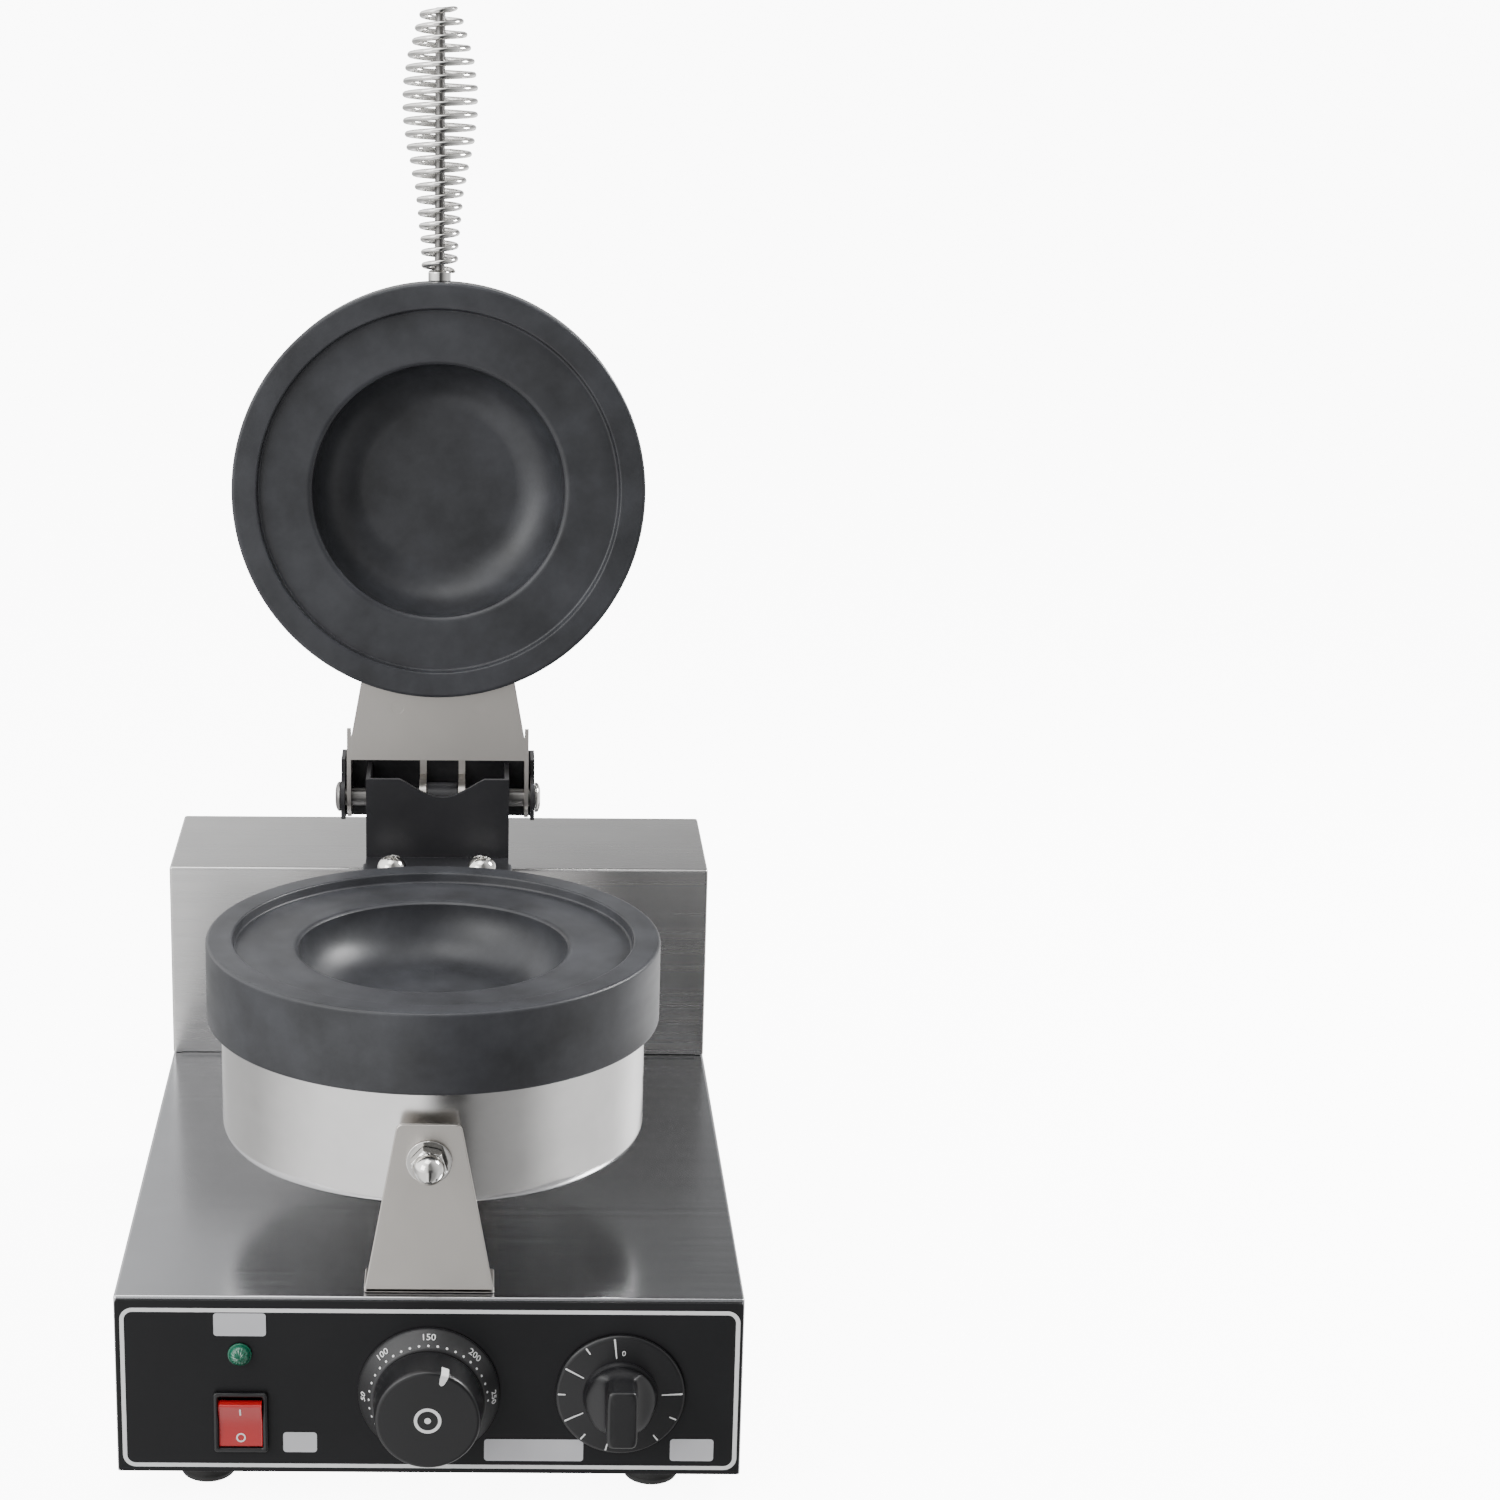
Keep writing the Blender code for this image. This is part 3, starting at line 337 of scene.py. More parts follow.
def lofted(half: Array, exponent: Array, height: Array, sides: int = 96) -> Patch:
    """A stack of superellipses: x = a c^(2/n), y = b s^(2/n) with c, s of the angle.

    Args:
        half: Half widths a and b at each level (levels, 2).
        exponent: The exponent n at each level; 2 is an ellipse and 6 nearly a rectangle.
        height: Height of each level.
        sides: Divisions round the stack.

    Returns:
        The patch, open below and closed where the last half widths are 0.
    """
    angle = np.linspace(0, 2 * np.pi, sides + 1)[None]
    power = 2 / exponent[:, None]
    c, s = np.cos(angle), np.sin(angle)
    x = half[:, 0:1] * np.sign(c) * np.abs(c) ** power
    y = half[:, 1:2] * np.sign(s) * np.abs(s) ** power
    z = height[:, None] + 0 * angle
    return grid_patch(np.stack((x, y, z), axis=-1), np.stack((x, y), axis=-1))


def smoothstep(low: float, high: float, value: Array) -> Array:
    """0 below low, 1 above high and 3t^2 - 2t^3 between them, t rising from 0 to 1."""
    t = np.clip((value - low) / (high - low), 0, 1)
    return t * t * (3 - 2 * t)


# ------------------------------------------------------------------ finishes


Socket = bpy.types.NodeSocket


class Tree:
    """A node tree, with short calls for the nodes that the finishes and the sky share."""

    def __init__(self, tree: bpy.types.NodeTree) -> None:
        """Take over a tree."""
        self.tree = tree

    def add(self, kind: str, **inputs: object) -> bpy.types.Node:
        """Add a node and set some of its inputs.

        Args:
            kind: The node's type.
            inputs: Values by the input's name, its spaces written as underscores.

        Returns:
            The node.
        """
        node = self.tree.nodes.new(kind)
        for key, value in inputs.items():
            node.inputs[key.replace("_", " ")].default_value = value
        return node

    def link(self, source: Socket, target: Socket) -> None:
        """Join two sockets."""
        self.tree.links.new(source, target)

    def remap(self, source: Socket, old: Point2, new: Point2 = (0.0, 1.0)) -> Socket:
        """Stretch a range of a value over a new one.

        Args:
            source: The value.
            old: The range that is stretched; the value is held inside it.
            new: What its two ends become.

        Returns:
            The new value's socket.
        """
        node = self.add(
            "ShaderNodeMapRange", From_Min=old[0], From_Max=old[1], To_Min=new[0], To_Max=new[1]
        )
        self.link(source, node.inputs["Value"])
        return node.outputs["Result"]

    def ramp(self, source: Socket, stops: Sequence[tuple[float, Point3]]) -> Socket:
        """Colour by a value, mixed between the stops on either side of it.

        Args:
            source: The value, from 0 to 1.
            stops: Places from 0 to 1 with their colours, in order.

        Returns:
            The colour's socket.
        """
        node = self.add("ShaderNodeValToRGB")
        elements = node.color_ramp.elements
        for element, (place, colour) in zip(elements, (stops[0], stops[-1])):
            element.position = place
            element.color = (*colour, 1)
        for place, colour in stops[1:-1]:
            elements.new(place).color = (*colour, 1)
        self.link(source, node.inputs["Fac"])
        return node.outputs["Color"]


class Nodes(Tree):
    """A new material's node tree and its shader."""

    def __init__(self, name: str) -> None:
        """Start a material with a Principled shader."""
        self.material = bpy.data.materials.new(name)
        self.material.use_nodes = True
        super().__init__(self.material.node_tree)
        self.shader = self.tree.nodes["Principled BSDF"]

    def pattern(self, space: str, scale: Point3, detail: float) -> Socket:
        """Noise on Object or UV coordinates, stretched by a scale in 1/m.

        Args:
            space: "Object" or "UV".
            scale: Repeats per metre along the three axes.
            detail: Octaves of the noise.

        Returns:
            The noise value's socket, from 0 to 1.
        """
        place = self.add("ShaderNodeTexCoord")
        mapping = self.add("ShaderNodeMapping", Scale=scale)
        noise = self.add("ShaderNodeTexNoise", Scale=1.0, Detail=detail, Roughness=0.6)
        self.link(place.outputs[space], mapping.inputs["Vector"])
        self.link(mapping.outputs["Vector"], noise.inputs["Vector"])
        return noise.outputs["Fac"]

    def gloss(self, source: Socket, low: float, high: float) -> None:
        """Vary the shader's roughness between two values by a noise."""
        self.link(self.remap(source, NOISE_RANGE, (low, high)), self.shader.inputs["Roughness"])

    def tint(self, source: Socket, first: Point3, second: Point3) -> None:
        """Colour the shader between two colours by a noise."""
        colour = self.ramp(source, tuple(zip(NOISE_RANGE, (first, second))))
        self.link(colour, self.shader.inputs["Base Color"])

    def bump(self, source: Socket, strength: float, distance: float) -> None:
        """Raise the surface by a noise; a second call adds to the first.

        Args:
            source: The noise.
            strength: Share of the bump that shows.
            distance: Height in metres between the noise's 0 and 1.
        """
        node = self.add("ShaderNodeBump", Strength=strength, Distance=distance)
        self.link(source, node.inputs["Height"])
        already = self.shader.inputs["Normal"].links
        if already:
            self.link(already[0].from_socket, node.inputs["Normal"])
        self.link(node.outputs["Normal"], self.shader.inputs["Normal"])


class Grain(Enum):
    """Direction of a brushed grain, as the stretch of its noise in 1/m."""

    ALONG_X = (9.0, 1100.0, 1100.0)
    ALONG_Z = (1100.0, 1100.0, 9.0)


@dataclass(frozen=True)
class Finish:
    """A plain finish: colour, gloss, a fine bump and a cloudy variation of its colour."""

    name: str
    colour: Point3
    roughness: float
    metallic: float = 0.0
    texture: float = 900.0
    bump: float = 0.1
    depth: float = 0.00008
    variation: float = 0.15
    coat: float = 0.0
    coat_roughness: float = 0.08
    specular: float = 0.5

    def made(self) -> bpy.types.Material:
        """The finish's material, built once."""
        found = bpy.data.materials.get(self.name)
        if found:
            return found
        nodes = Nodes(self.name)
        inputs = nodes.shader.inputs
        inputs["Metallic"].default_value = self.metallic
        inputs["Specular IOR Level"].default_value = self.specular
        inputs["Coat Weight"].default_value = self.coat
        inputs["Coat Roughness"].default_value = self.coat_roughness
        self.dress(nodes)
        return nodes.material

    def shades(self) -> tuple[Point3, Point3]:
        """The darker and the lighter colour of the finish's variation."""
        low, high = 1 - self.variation, 1 + self.variation
        return tuple(c * low for c in self.colour), tuple(min(1.0, c * high) for c in self.colour)

    def dress(self, nodes: Nodes) -> None:
        """Cloudy colour, slightly uneven gloss and a fine moulded texture."""
        cloud = nodes.pattern("Object", (22.0, 22.0, 22.0), 4.0)
        nodes.tint(cloud, *self.shades())
        fine = nodes.pattern("Object", (self.texture,) * 3, 2.0)
        nodes.gloss(cloud, self.roughness - 0.04, self.roughness + 0.05)
        nodes.bump(fine, self.bump, self.depth)


@dataclass(frozen=True)
class Brushed(Finish):
    """Sheet steel with a straight brushed grain."""

    grain: Grain = Grain.ALONG_X

    def dress(self, nodes: Nodes) -> None:
        """Long fine streaks in gloss and bump, over a faint cloudy stain."""
        streaks = nodes.pattern("Object", self.grain.value, 3.0)
        coarse = nodes.pattern("Object", tuple(v * 0.22 for v in self.grain.value), 2.0)
        cloud = nodes.pattern("Object", (14.0, 14.0, 14.0), 3.0)
        nodes.tint(cloud, *self.shades())
        nodes.gloss(coarse, self.roughness - 0.02, self.roughness + 0.03)
        nodes.bump(streaks, self.bump, self.depth)


@dataclass(frozen=True)
class Turned(Finish):
    """Metal turned on a lathe: rings that follow the profile, read from the UV."""

    rings: float = 1400.0
    rings_bump: float = 0.1

    def dress(self, nodes: Nodes) -> None:
        """Fine rings in gloss and bump, over a cloud and a grainy texture."""
        rings = nodes.pattern("UV", (0.35, self.rings, 1.0), 3.0)
        broad = nodes.pattern("UV", (0.8, self.rings * 0.12, 1.0), 2.0)
        cloud = nodes.pattern("Object", (34.0, 34.0, 34.0), 6.0)
        nodes.tint(cloud, *self.shades())
        nodes.gloss(broad, self.roughness - 0.05, self.roughness + 0.06)
        nodes.bump(rings, self.rings_bump, self.depth)
        grain = nodes.pattern("Object", (self.texture,) * 3, 2.0)
        nodes.bump(grain, self.bump, self.depth)


STEEL = (0.56, 0.555, 0.55)
DECK_STEEL = Brushed(
    "deck_brushed_steel", (0.455, 0.46, 0.475), 0.20, 1.0, bump=0.012, variation=0.05
)
COVER_STEEL = Brushed("cover_brushed_steel", STEEL, 0.26, 1.0, bump=0.02, variation=0.06)
BRACKET_STEEL = Brushed(
    "bracket_brushed_steel", (0.54, 0.515, 0.485), 0.34, 1.0, bump=0.08, variation=0.06,
    grain=Grain.ALONG_Z,
)
SHELL_STEEL = Turned(
    "drawn_shell_steel", (0.70, 0.69, 0.68), 0.20, 1.0, texture=400.0, bump=0.02, variation=0.05,
    rings=700.0, rings_bump=0.05,
)
CHROME = Finish(
    "chrome_plate", (0.66, 0.65, 0.63), 0.10, 1.0, texture=300.0, bump=0.02, variation=0.06
)
NONSTICK = Turned(
    "mould_nonstick", (0.028, 0.0292, 0.0332), 0.40, 0.0, texture=1500.0, bump=0.12, depth=0.00006,
    variation=0.42, rings=500.0, rings_bump=0.12, specular=0.4,
)
BLACK_PAINT = Finish(
    "hinge_black_paint", (0.014, 0.014, 0.016), 0.38, texture=1400.0, bump=0.12, variation=0.2
)
PANEL_BLACK = Finish(
    "panel_satin_black", (0.0105, 0.0105, 0.0115), 0.46, texture=2600.0, bump=0.10, variation=0.12,
    specular=0.2,
)
BLACK_PLASTIC = Finish(
    "knob_black_plastic", (0.006, 0.006, 0.007), 0.36, texture=2200.0, bump=0.10, variation=0.15
)
SKIRT_PLASTIC = Finish(
    "skirt_black_plastic", (0.013, 0.013, 0.014), 0.42, texture=2200.0, bump=0.10, variation=0.15
)
RED_PLASTIC = Finish(
    "rocker_red_plastic", (0.40, 0.008, 0.010), 0.30, texture=1800.0, bump=0.05, variation=0.08,
    coat=0.25,
)
GREEN_LENS = Finish(
    "lamp_green_lens", (0.003, 0.12, 0.065), 0.14, texture=700.0, bump=0.06, variation=0.25, coat=0.5
)
RUBBER = Finish("foot_rubber", (0.012, 0.012, 0.012), 0.72, texture=900.0, bump=0.3, variation=0.2)
DARK_STEEL = Finish(
    "dark_pin_steel", (0.20, 0.195, 0.19), 0.34, 1.0, texture=300.0, bump=0.05, variation=0.15
)
ZINC = Finish("zinc_plate", (0.50, 0.50, 0.47), 0.38, 1.0, texture=260.0, bump=0.06, variation=0.18)
MICA = Finish("heater_mica", (0.42, 0.33, 0.20), 0.55, texture=220.0, bump=0.25, variation=0.35)
WOOL = Finish("insulation_wool", (0.78, 0.77, 0.72), 0.95, texture=350.0, bump=0.8, depth=0.0006)
CERAMIC = Finish("block_ceramic", (0.78, 0.76, 0.70), 0.35, texture=500.0, bump=0.08, variation=0.06)
WHITE_PRINT = Finish(
    "white_print", (0.72, 0.72, 0.72), 0.5, texture=1600.0, bump=0.05, variation=0.05
)
GREY_LABEL = Finish(
    "grey_label", (0.50, 0.50, 0.52), 0.45, texture=1600.0, bump=0.05, variation=0.05
)


# ------------------------------------------------------------------ workshop


@dataclass(frozen=True)
class Bench:
    """Where the working frame and the lid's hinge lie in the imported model."""

    panel_y: float
    hinge: Point3
    open_angle: float

    @classmethod
    def from_frame(cls) -> "Bench":
        """Read the panel's face and the lid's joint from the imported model."""
        joint = next(j for j in frame["joints"] if j["name"] == "lid_hinge")
        return cls(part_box("front_panel")[0].y, tuple(joint["pos_m"]), joint["range_deg"][1])

    def world(self, points: Array, on_lid: bool) -> Array:
        """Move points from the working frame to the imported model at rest.

        Args:
            points: Points (n, 3) in the working frame, the lid's drawn closed.
            on_lid: Whether they belong to the lid, which then turns open about x.

        Returns:
            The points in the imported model's frame.
        """
        moved = points + np.array((0.0, self.panel_y, 0.0))
        if not on_lid:
            return moved
        pivot = np.array(self.hinge)
        return (moved - pivot) @ rotation("x", -self.open_angle).T + pivot


BENCH = Bench.from_frame()


@dataclass(frozen=True)
class Job:
    """Body, finish, slot and replaced nodes of a piece that is to be made."""

    body: str
    finish: Finish
    slot: str | None = None
    replaces: tuple[str, ...] = ()
    sharp: float = 32.0

    def make(self, name: str, *patches: Patch) -> bpy.types.Object:
        """Join patches into one closed, smooth shaded object and hang it on its body.

        Args:
            name: Name of the piece.
            patches: Its surfaces in the working frame.

        Returns:
            The finished object.
        """
        counts = np.cumsum([0] + [len(p.points) for p in patches])
        points = BENCH.world(np.concatenate([p.points for p in patches]), self.body == "lid")
        faces = [[i + start for i in face] for p, start in zip(patches, counts) for face in p.faces]
        uv = np.concatenate([p.uv for p in patches])
        mesh = bpy.data.meshes.new(name)
        mesh.from_pydata(points.tolist(), [], faces)
        corners = np.empty(len(mesh.loops), np.int32)
        mesh.loops.foreach_get("vertex_index", corners)
        layer = mesh.uv_layers.new(name="Surface")
        layer.data.foreach_set("uv", uv[corners].astype(np.float32).reshape(-1))
        work = bmesh.new()
        work.from_mesh(mesh)
        bmesh.ops.remove_doubles(work, verts=work.verts, dist=WELD)
        bmesh.ops.recalc_face_normals(work, faces=work.faces)
        work.to_mesh(mesh)
        work.free()
        return self.finished(name, mesh)

    def turn(
        self, name: str, profile: Array, sides: int, place: Point3, facing: Facing = Facing.UP
    ) -> bpy.types.Object:
        """Make a turned piece.

        Args:
            name: Name of the piece.
            profile: Its outline, (radius, height).
            sides: Divisions round its axis.
            place: Where the foot of its axis goes, in the working frame.
            facing: The side that its axis points to.

        Returns:
            The finished object.
        """
        return self.make(name, revolved(profile, sides).placed(place, facing))

    def finished(self, name: str, mesh: bpy.types.Mesh) -> bpy.types.Object:
        """Shade, dress and hang a mesh that is already in its place.

        Args:
            name: Name of the piece.
            mesh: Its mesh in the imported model's frame.

        Returns:
            The finished object.
        """
        mesh.materials.clear()
        mesh.materials.append(self.finish.made())
        mesh.shade_smooth()
        mesh.set_sharp_from_angle(angle=math.radians(self.sharp))
        made = bpy.data.objects.new(name, mesh)
        bpy.context.scene.collection.objects.link(made)
        even = made.modifiers.new("Even shading", "WEIGHTED_NORMAL")
        even.keep_sharp = True
        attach(made, self.body)
        if self.replaces:
            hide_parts(*self.replaces)
        log.info("%-28s on %-16s %6d faces", name, self.body, len(mesh.polygons))
        return made

    def refine(self, name: str, node: str, edge: float, steps: int = 2) -> bpy.types.Object:
        """Make a sheet piece from its CAD node, with the folds smooth and the edges eased.

        Args:
            name: Name of the piece.
            node: The CAD node that is copied and replaced.
            edge: Width of the eased edges; 0 leaves them as they are.
            steps: Divisions of each eased edge.

        Returns:
            The finished object.
        """
        mesh = frame["nodes"][node].data.copy()
        work = bmesh.new()
        work.from_mesh(mesh)
        bmesh.ops.remove_doubles(work, verts=work.verts, dist=WELD)
        bmesh.ops.dissolve_limit(
            work, angle_limit=FLAT_WITHIN, verts=work.verts, edges=work.edges
        )
        work.to_mesh(mesh)
        work.free()
        made = self.finished(name, mesh)
        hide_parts(node)
        if edge:
            ease = made.modifiers.new("Eased edges", "BEVEL")
            ease.width = edge
            ease.segments = steps
            ease.limit_method = "ANGLE"
            ease.angle_limit = EASED_FROM
            ease.use_clamp_overlap = True
            made.modifiers.move(len(made.modifiers) - 1, 0)
        return made


def lettering(text: str, height: float, thickness: float) -> Patch:
    """Text as a thin flat solid about its own middle, on z = 0.

    Args:
        text: The characters.
        height: Height of a numeral.
        thickness: Thickness of the solid.

    Returns:
        The patch; its UV is its flat plan.
    """
    curve = bpy.data.curves.new("lettering", "FONT")
    curve.body = text
    curve.size = height / NUMERAL_SHARE
    curve.align_x = "CENTER"
    curve.align_y = "CENTER"
    curve.extrude = thickness / 2
    curve.resolution_u = 4
    guide = bpy.data.objects.new("lettering", curve)
    bpy.context.scene.collection.objects.link(guide)
    mesh = bpy.data.meshes.new_from_object(guide.evaluated_get(bpy.context.evaluated_depsgraph_get()))
    points = np.empty(len(mesh.vertices) * 3)
    mesh.vertices.foreach_get("co", points)
    points = points.reshape(-1, 3) + np.array((0, 0, thickness / 2))
    faces = [list(p.vertices) for p in mesh.polygons]
    bpy.data.objects.remove(guide)
    bpy.data.meshes.remove(mesh)
    return Patch(points, faces, points[:, :2].copy())


def wrapped(flat: Patch, middle: float, profile: tuple[Point2, Point2]) -> Patch:
    """Lay a flat patch on a cone: its x goes round the cone and its y along the slope.

    A point (x, y, z) goes to angle middle - x / r and to the slope's point at y, raised by z
    square to the slope.

    Args:
        flat: The patch, about its own middle.
        middle: Angle of its middle in degrees, clockwise from the top.
        profile: The slope's middle (radius, height) and its unit direction outwards.

    Returns:
        The patch about the cone's axis, which is z.
    """
    (radius, height), (dr, dh) = profile
    x, y, z = flat.points.T
    r = radius + dr * y - dh * z
    h = height + dh * y + dr * z
    angle = math.radians(90 - middle) - x / radius
    points = np.stack((r * np.cos(angle), r * np.sin(angle), h), axis=1)
    return Patch(points, flat.faces, flat.uv)


# ------------------------------------------------------------------ housing


@dataclass
class Housing:
    """The folded steel box and its rubber feet."""

    foot_x: float = 0.090
    foot_rows: tuple[float, float] = (0.0195, 0.3305)
    foot_radius: float = 0.0115
    foot_height: float = 0.010

    def build(self) -> None:
        """Make the skin and the four feet."""
        Job("base", DECK_STEEL, "brushed_steel").refine("housing_skin", "housing", 0)
        self.build_feet()

    def build_feet(self) -> None:
        """Turned rubber feet with a waist, a rounded tread and a recess for the screw."""
        r, h = self.foot_radius, self.foot_height
        profile = eased(
            [
                (0.0024, h), (r - 0.0012, h), (r, h - 0.0012), (r - 0.0005, 0.0042), (r, 0.0034),
                (r - 0.0008, 0.0012), (r - 0.0028, 0.0), (0.0055, 0.0), (0.0055, 0.0045),
                (0.0024, 0.0045), (0.0024, h),
            ],
            (0.0006, 0.0008, 0.0009, 0.0005, 0.0008, 0.0010, 0.0004, 0.0004, 0.0004),
        )
        places = {
            f"{row}_{side}": (x, y)
            for row, y in zip(("front", "rear"), self.foot_rows)
            for side, x in (("left", -self.foot_x), ("right", self.foot_x))
        }
        for name, (x, y) in places.items():
            job = Job("base", RUBBER, "rubber", (f"foot_{name}",))
            job.turn(f"rubber_foot_{name}", profile, 64, (x, y, 0))


@dataclass
class RearCover:
    """The raised steel box at the back, its side screws and the lead glands."""

    screw: Point3 = (0.125, 0.310, 0.100)
    glands: tuple[tuple[str, str, str, float, Point3, Facing], ...] = (
        ("mains_gland", "power_inlet_gland", "base", 0.0040, (-0.085, 0.350, 0.032), Facing.BACK),
        ("cover_gland", "lid_lead_gland", "base", 0.0030, (0, 0.312, 0.179), Facing.UP),
        ("lid_gland", "upper_lead_gland", "lid", 0.0030, (0, 0.140, 0.2806), Facing.UP),
    )

    def build(self) -> None:
        """Make the cover, its screws and every gland."""
        Job("base", COVER_STEEL, "brushed_steel").refine("rear_cover_skin", "rear_cover", 0)
        head = eased(
            [(0.0, 0.0022), (0.0020, 0.0019), (0.0036, 0.0006), (0.0036, GAP), (0.0, GAP)],
            (0.0006, 0.0005, 0.0001),
        )
        x, y, z = self.screw
        for name, side, facing in (("left", -1, Facing.LEFT), ("right", 1, Facing.RIGHT)):
            job = Job("base", CHROME, "chrome", (f"rear_cover_screw_{name}",))
            job.turn(f"cover_screw_{name}", head, 40, (side * x, y, z), facing)
        for gland in self.glands:
            self.build_gland(*gland)

    def build_gland(
        self, name: str, node: str, body: str, bore: float, place: Point3, facing: Facing
    ) -> None:
        """A stepped nut with a collar round the lead's bore, in 12 shallow ribs.

        The collar's radius is scaled by 1 + 0.03 cos(12 t), but by no more than 1.

        Args:
            name: Name of the piece.
            node: The CAD node that it replaces.
            body: The CAD body that it rides on.
            bore: Radius of the bore.
            place: Middle of its seat in the working frame.
            facing: The way that its collar points.
        """
        profile = eased(
            [
                (bore, -0.0060), (bore, 0.0140), (bore + 0.0015, 0.0140), (bore + 0.0030, 0.0120),
                (bore + 0.0030, 0.0070), (bore + 0.0050, 0.0060), (bore + 0.0050, GAP),
                (bore + 0.0027, GAP), (bore + 0.0027, -0.0060), (bore, -0.0060),
            ],
            0.0004,
        )
        gland = revolved(profile, 48)
        x, y, z = gland.points.T
        collar = (z > 0.0072) & (z < 0.0118) & (np.hypot(x, y) > bore + 0.001)
        ribs = 1 + 0.03 * np.cos(12 * np.arctan2(y, x))
        gland.points[collar, :2] *= np.minimum(ribs, 1.0)[collar, None]
        Job(body, BLACK_PLASTIC, "black_plastic", (node,)).make(name, gland.placed(place, facing))


# ------------------------------------------------------------------ controls


# Places (x, z) of the controls on the panel.
SWITCH, LAMP = (-0.075, 0.0333), (-0.075, 0.0627)
THERMOSTAT, TIMER = (0.0, 0.0467), (0.0762, 0.0467)


@dataclass
class ControlPanel:
    """The black panel with its printed border and blank label patches."""

    width: float = 0.2488
    height: float = 0.0752
    middle_z: float = 0.0482
    thickness: float = 0.0010
    print_depth: float = 0.00008
    border: tuple[float, float, float, float] = (-0.1225, 0.1233, 0.0127, 0.0824)
    line: float = 0.0017
    corner: float = 0.0052
    labels: tuple[tuple[float, float, float, float], ...] = (  # x from, to, z from, to
        (-0.0853, -0.0645, 0.0704, 0.0803),
        (-0.0582, -0.0447, 0.0195, 0.0283),
        (0.0222, 0.0619, 0.0162, 0.0258),
        (0.0966, 0.1140, 0.0166, 0.0263),
    )
    holes: tuple[tuple[Point2, float], ...] = ((THERMOSTAT, 0.005), (TIMER, 0.005), (LAMP, 0.0046))

    def build(self) -> None:
        """Make the panel sheet, the border and the labels."""
        m = self.middle_z
        window = rounded_loop(0.0198, 0.0246, 0.0006, 2)[::-1] + np.array((SWITCH[0], SWITCH[1] - m))
        holes = [circle_loop((x, z - m), radius) for (x, z), radius in self.holes]
        loops = [rounded_loop(self.width, self.height, 0.0015), *holes, window]
        Job("base", PANEL_BLACK, "panel_black", ("front_panel",)).make(
            "control_panel",
            sheet(loops, self.thickness, 0.00025).placed((0, self.thickness, m), Facing.FRONT),
        )
        x0, x1, z0, z1 = self.border
        centre = ((x0 + x1) / 2, 0.0, (z0 + z1) / 2)
        outer = rounded_loop(x1 - x0, z1 - z0, self.corner, 10)
        inner = rounded_loop(
            x1 - x0 - 2 * self.line, z1 - z0 - 2 * self.line, self.corner - self.line, 10
        )[::-1]
        flat = printed([outer, inner], self.print_depth)
        Job("base", WHITE_PRINT).make("panel_border", flat.placed(centre, Facing.FRONT))
        patches = []
        for x0, x1, z0, z1 in self.labels:
            loop = rounded_loop(x1 - x0, z1 - z0, 0.0013, 5)
            label = printed([loop], self.print_depth)
            patches.append(label.placed(((x0 + x1) / 2, 0.0, (z0 + z1) / 2), Facing.FRONT))
        Job("base", GREY_LABEL).make("panel_labels", *patches)


@dataclass
class Control:
    """Something on the panel with an axis of its own, which points to the front."""

    place: Point2

    def at(self, patch: Patch, y: float = 0.0, spin: float = 0.0) -> Patch:
        """A patch about that axis, spun in degrees and moved to its place on the panel."""
        return patch.placed((self.place[0], y, self.place[1]), Facing.FRONT, spin)


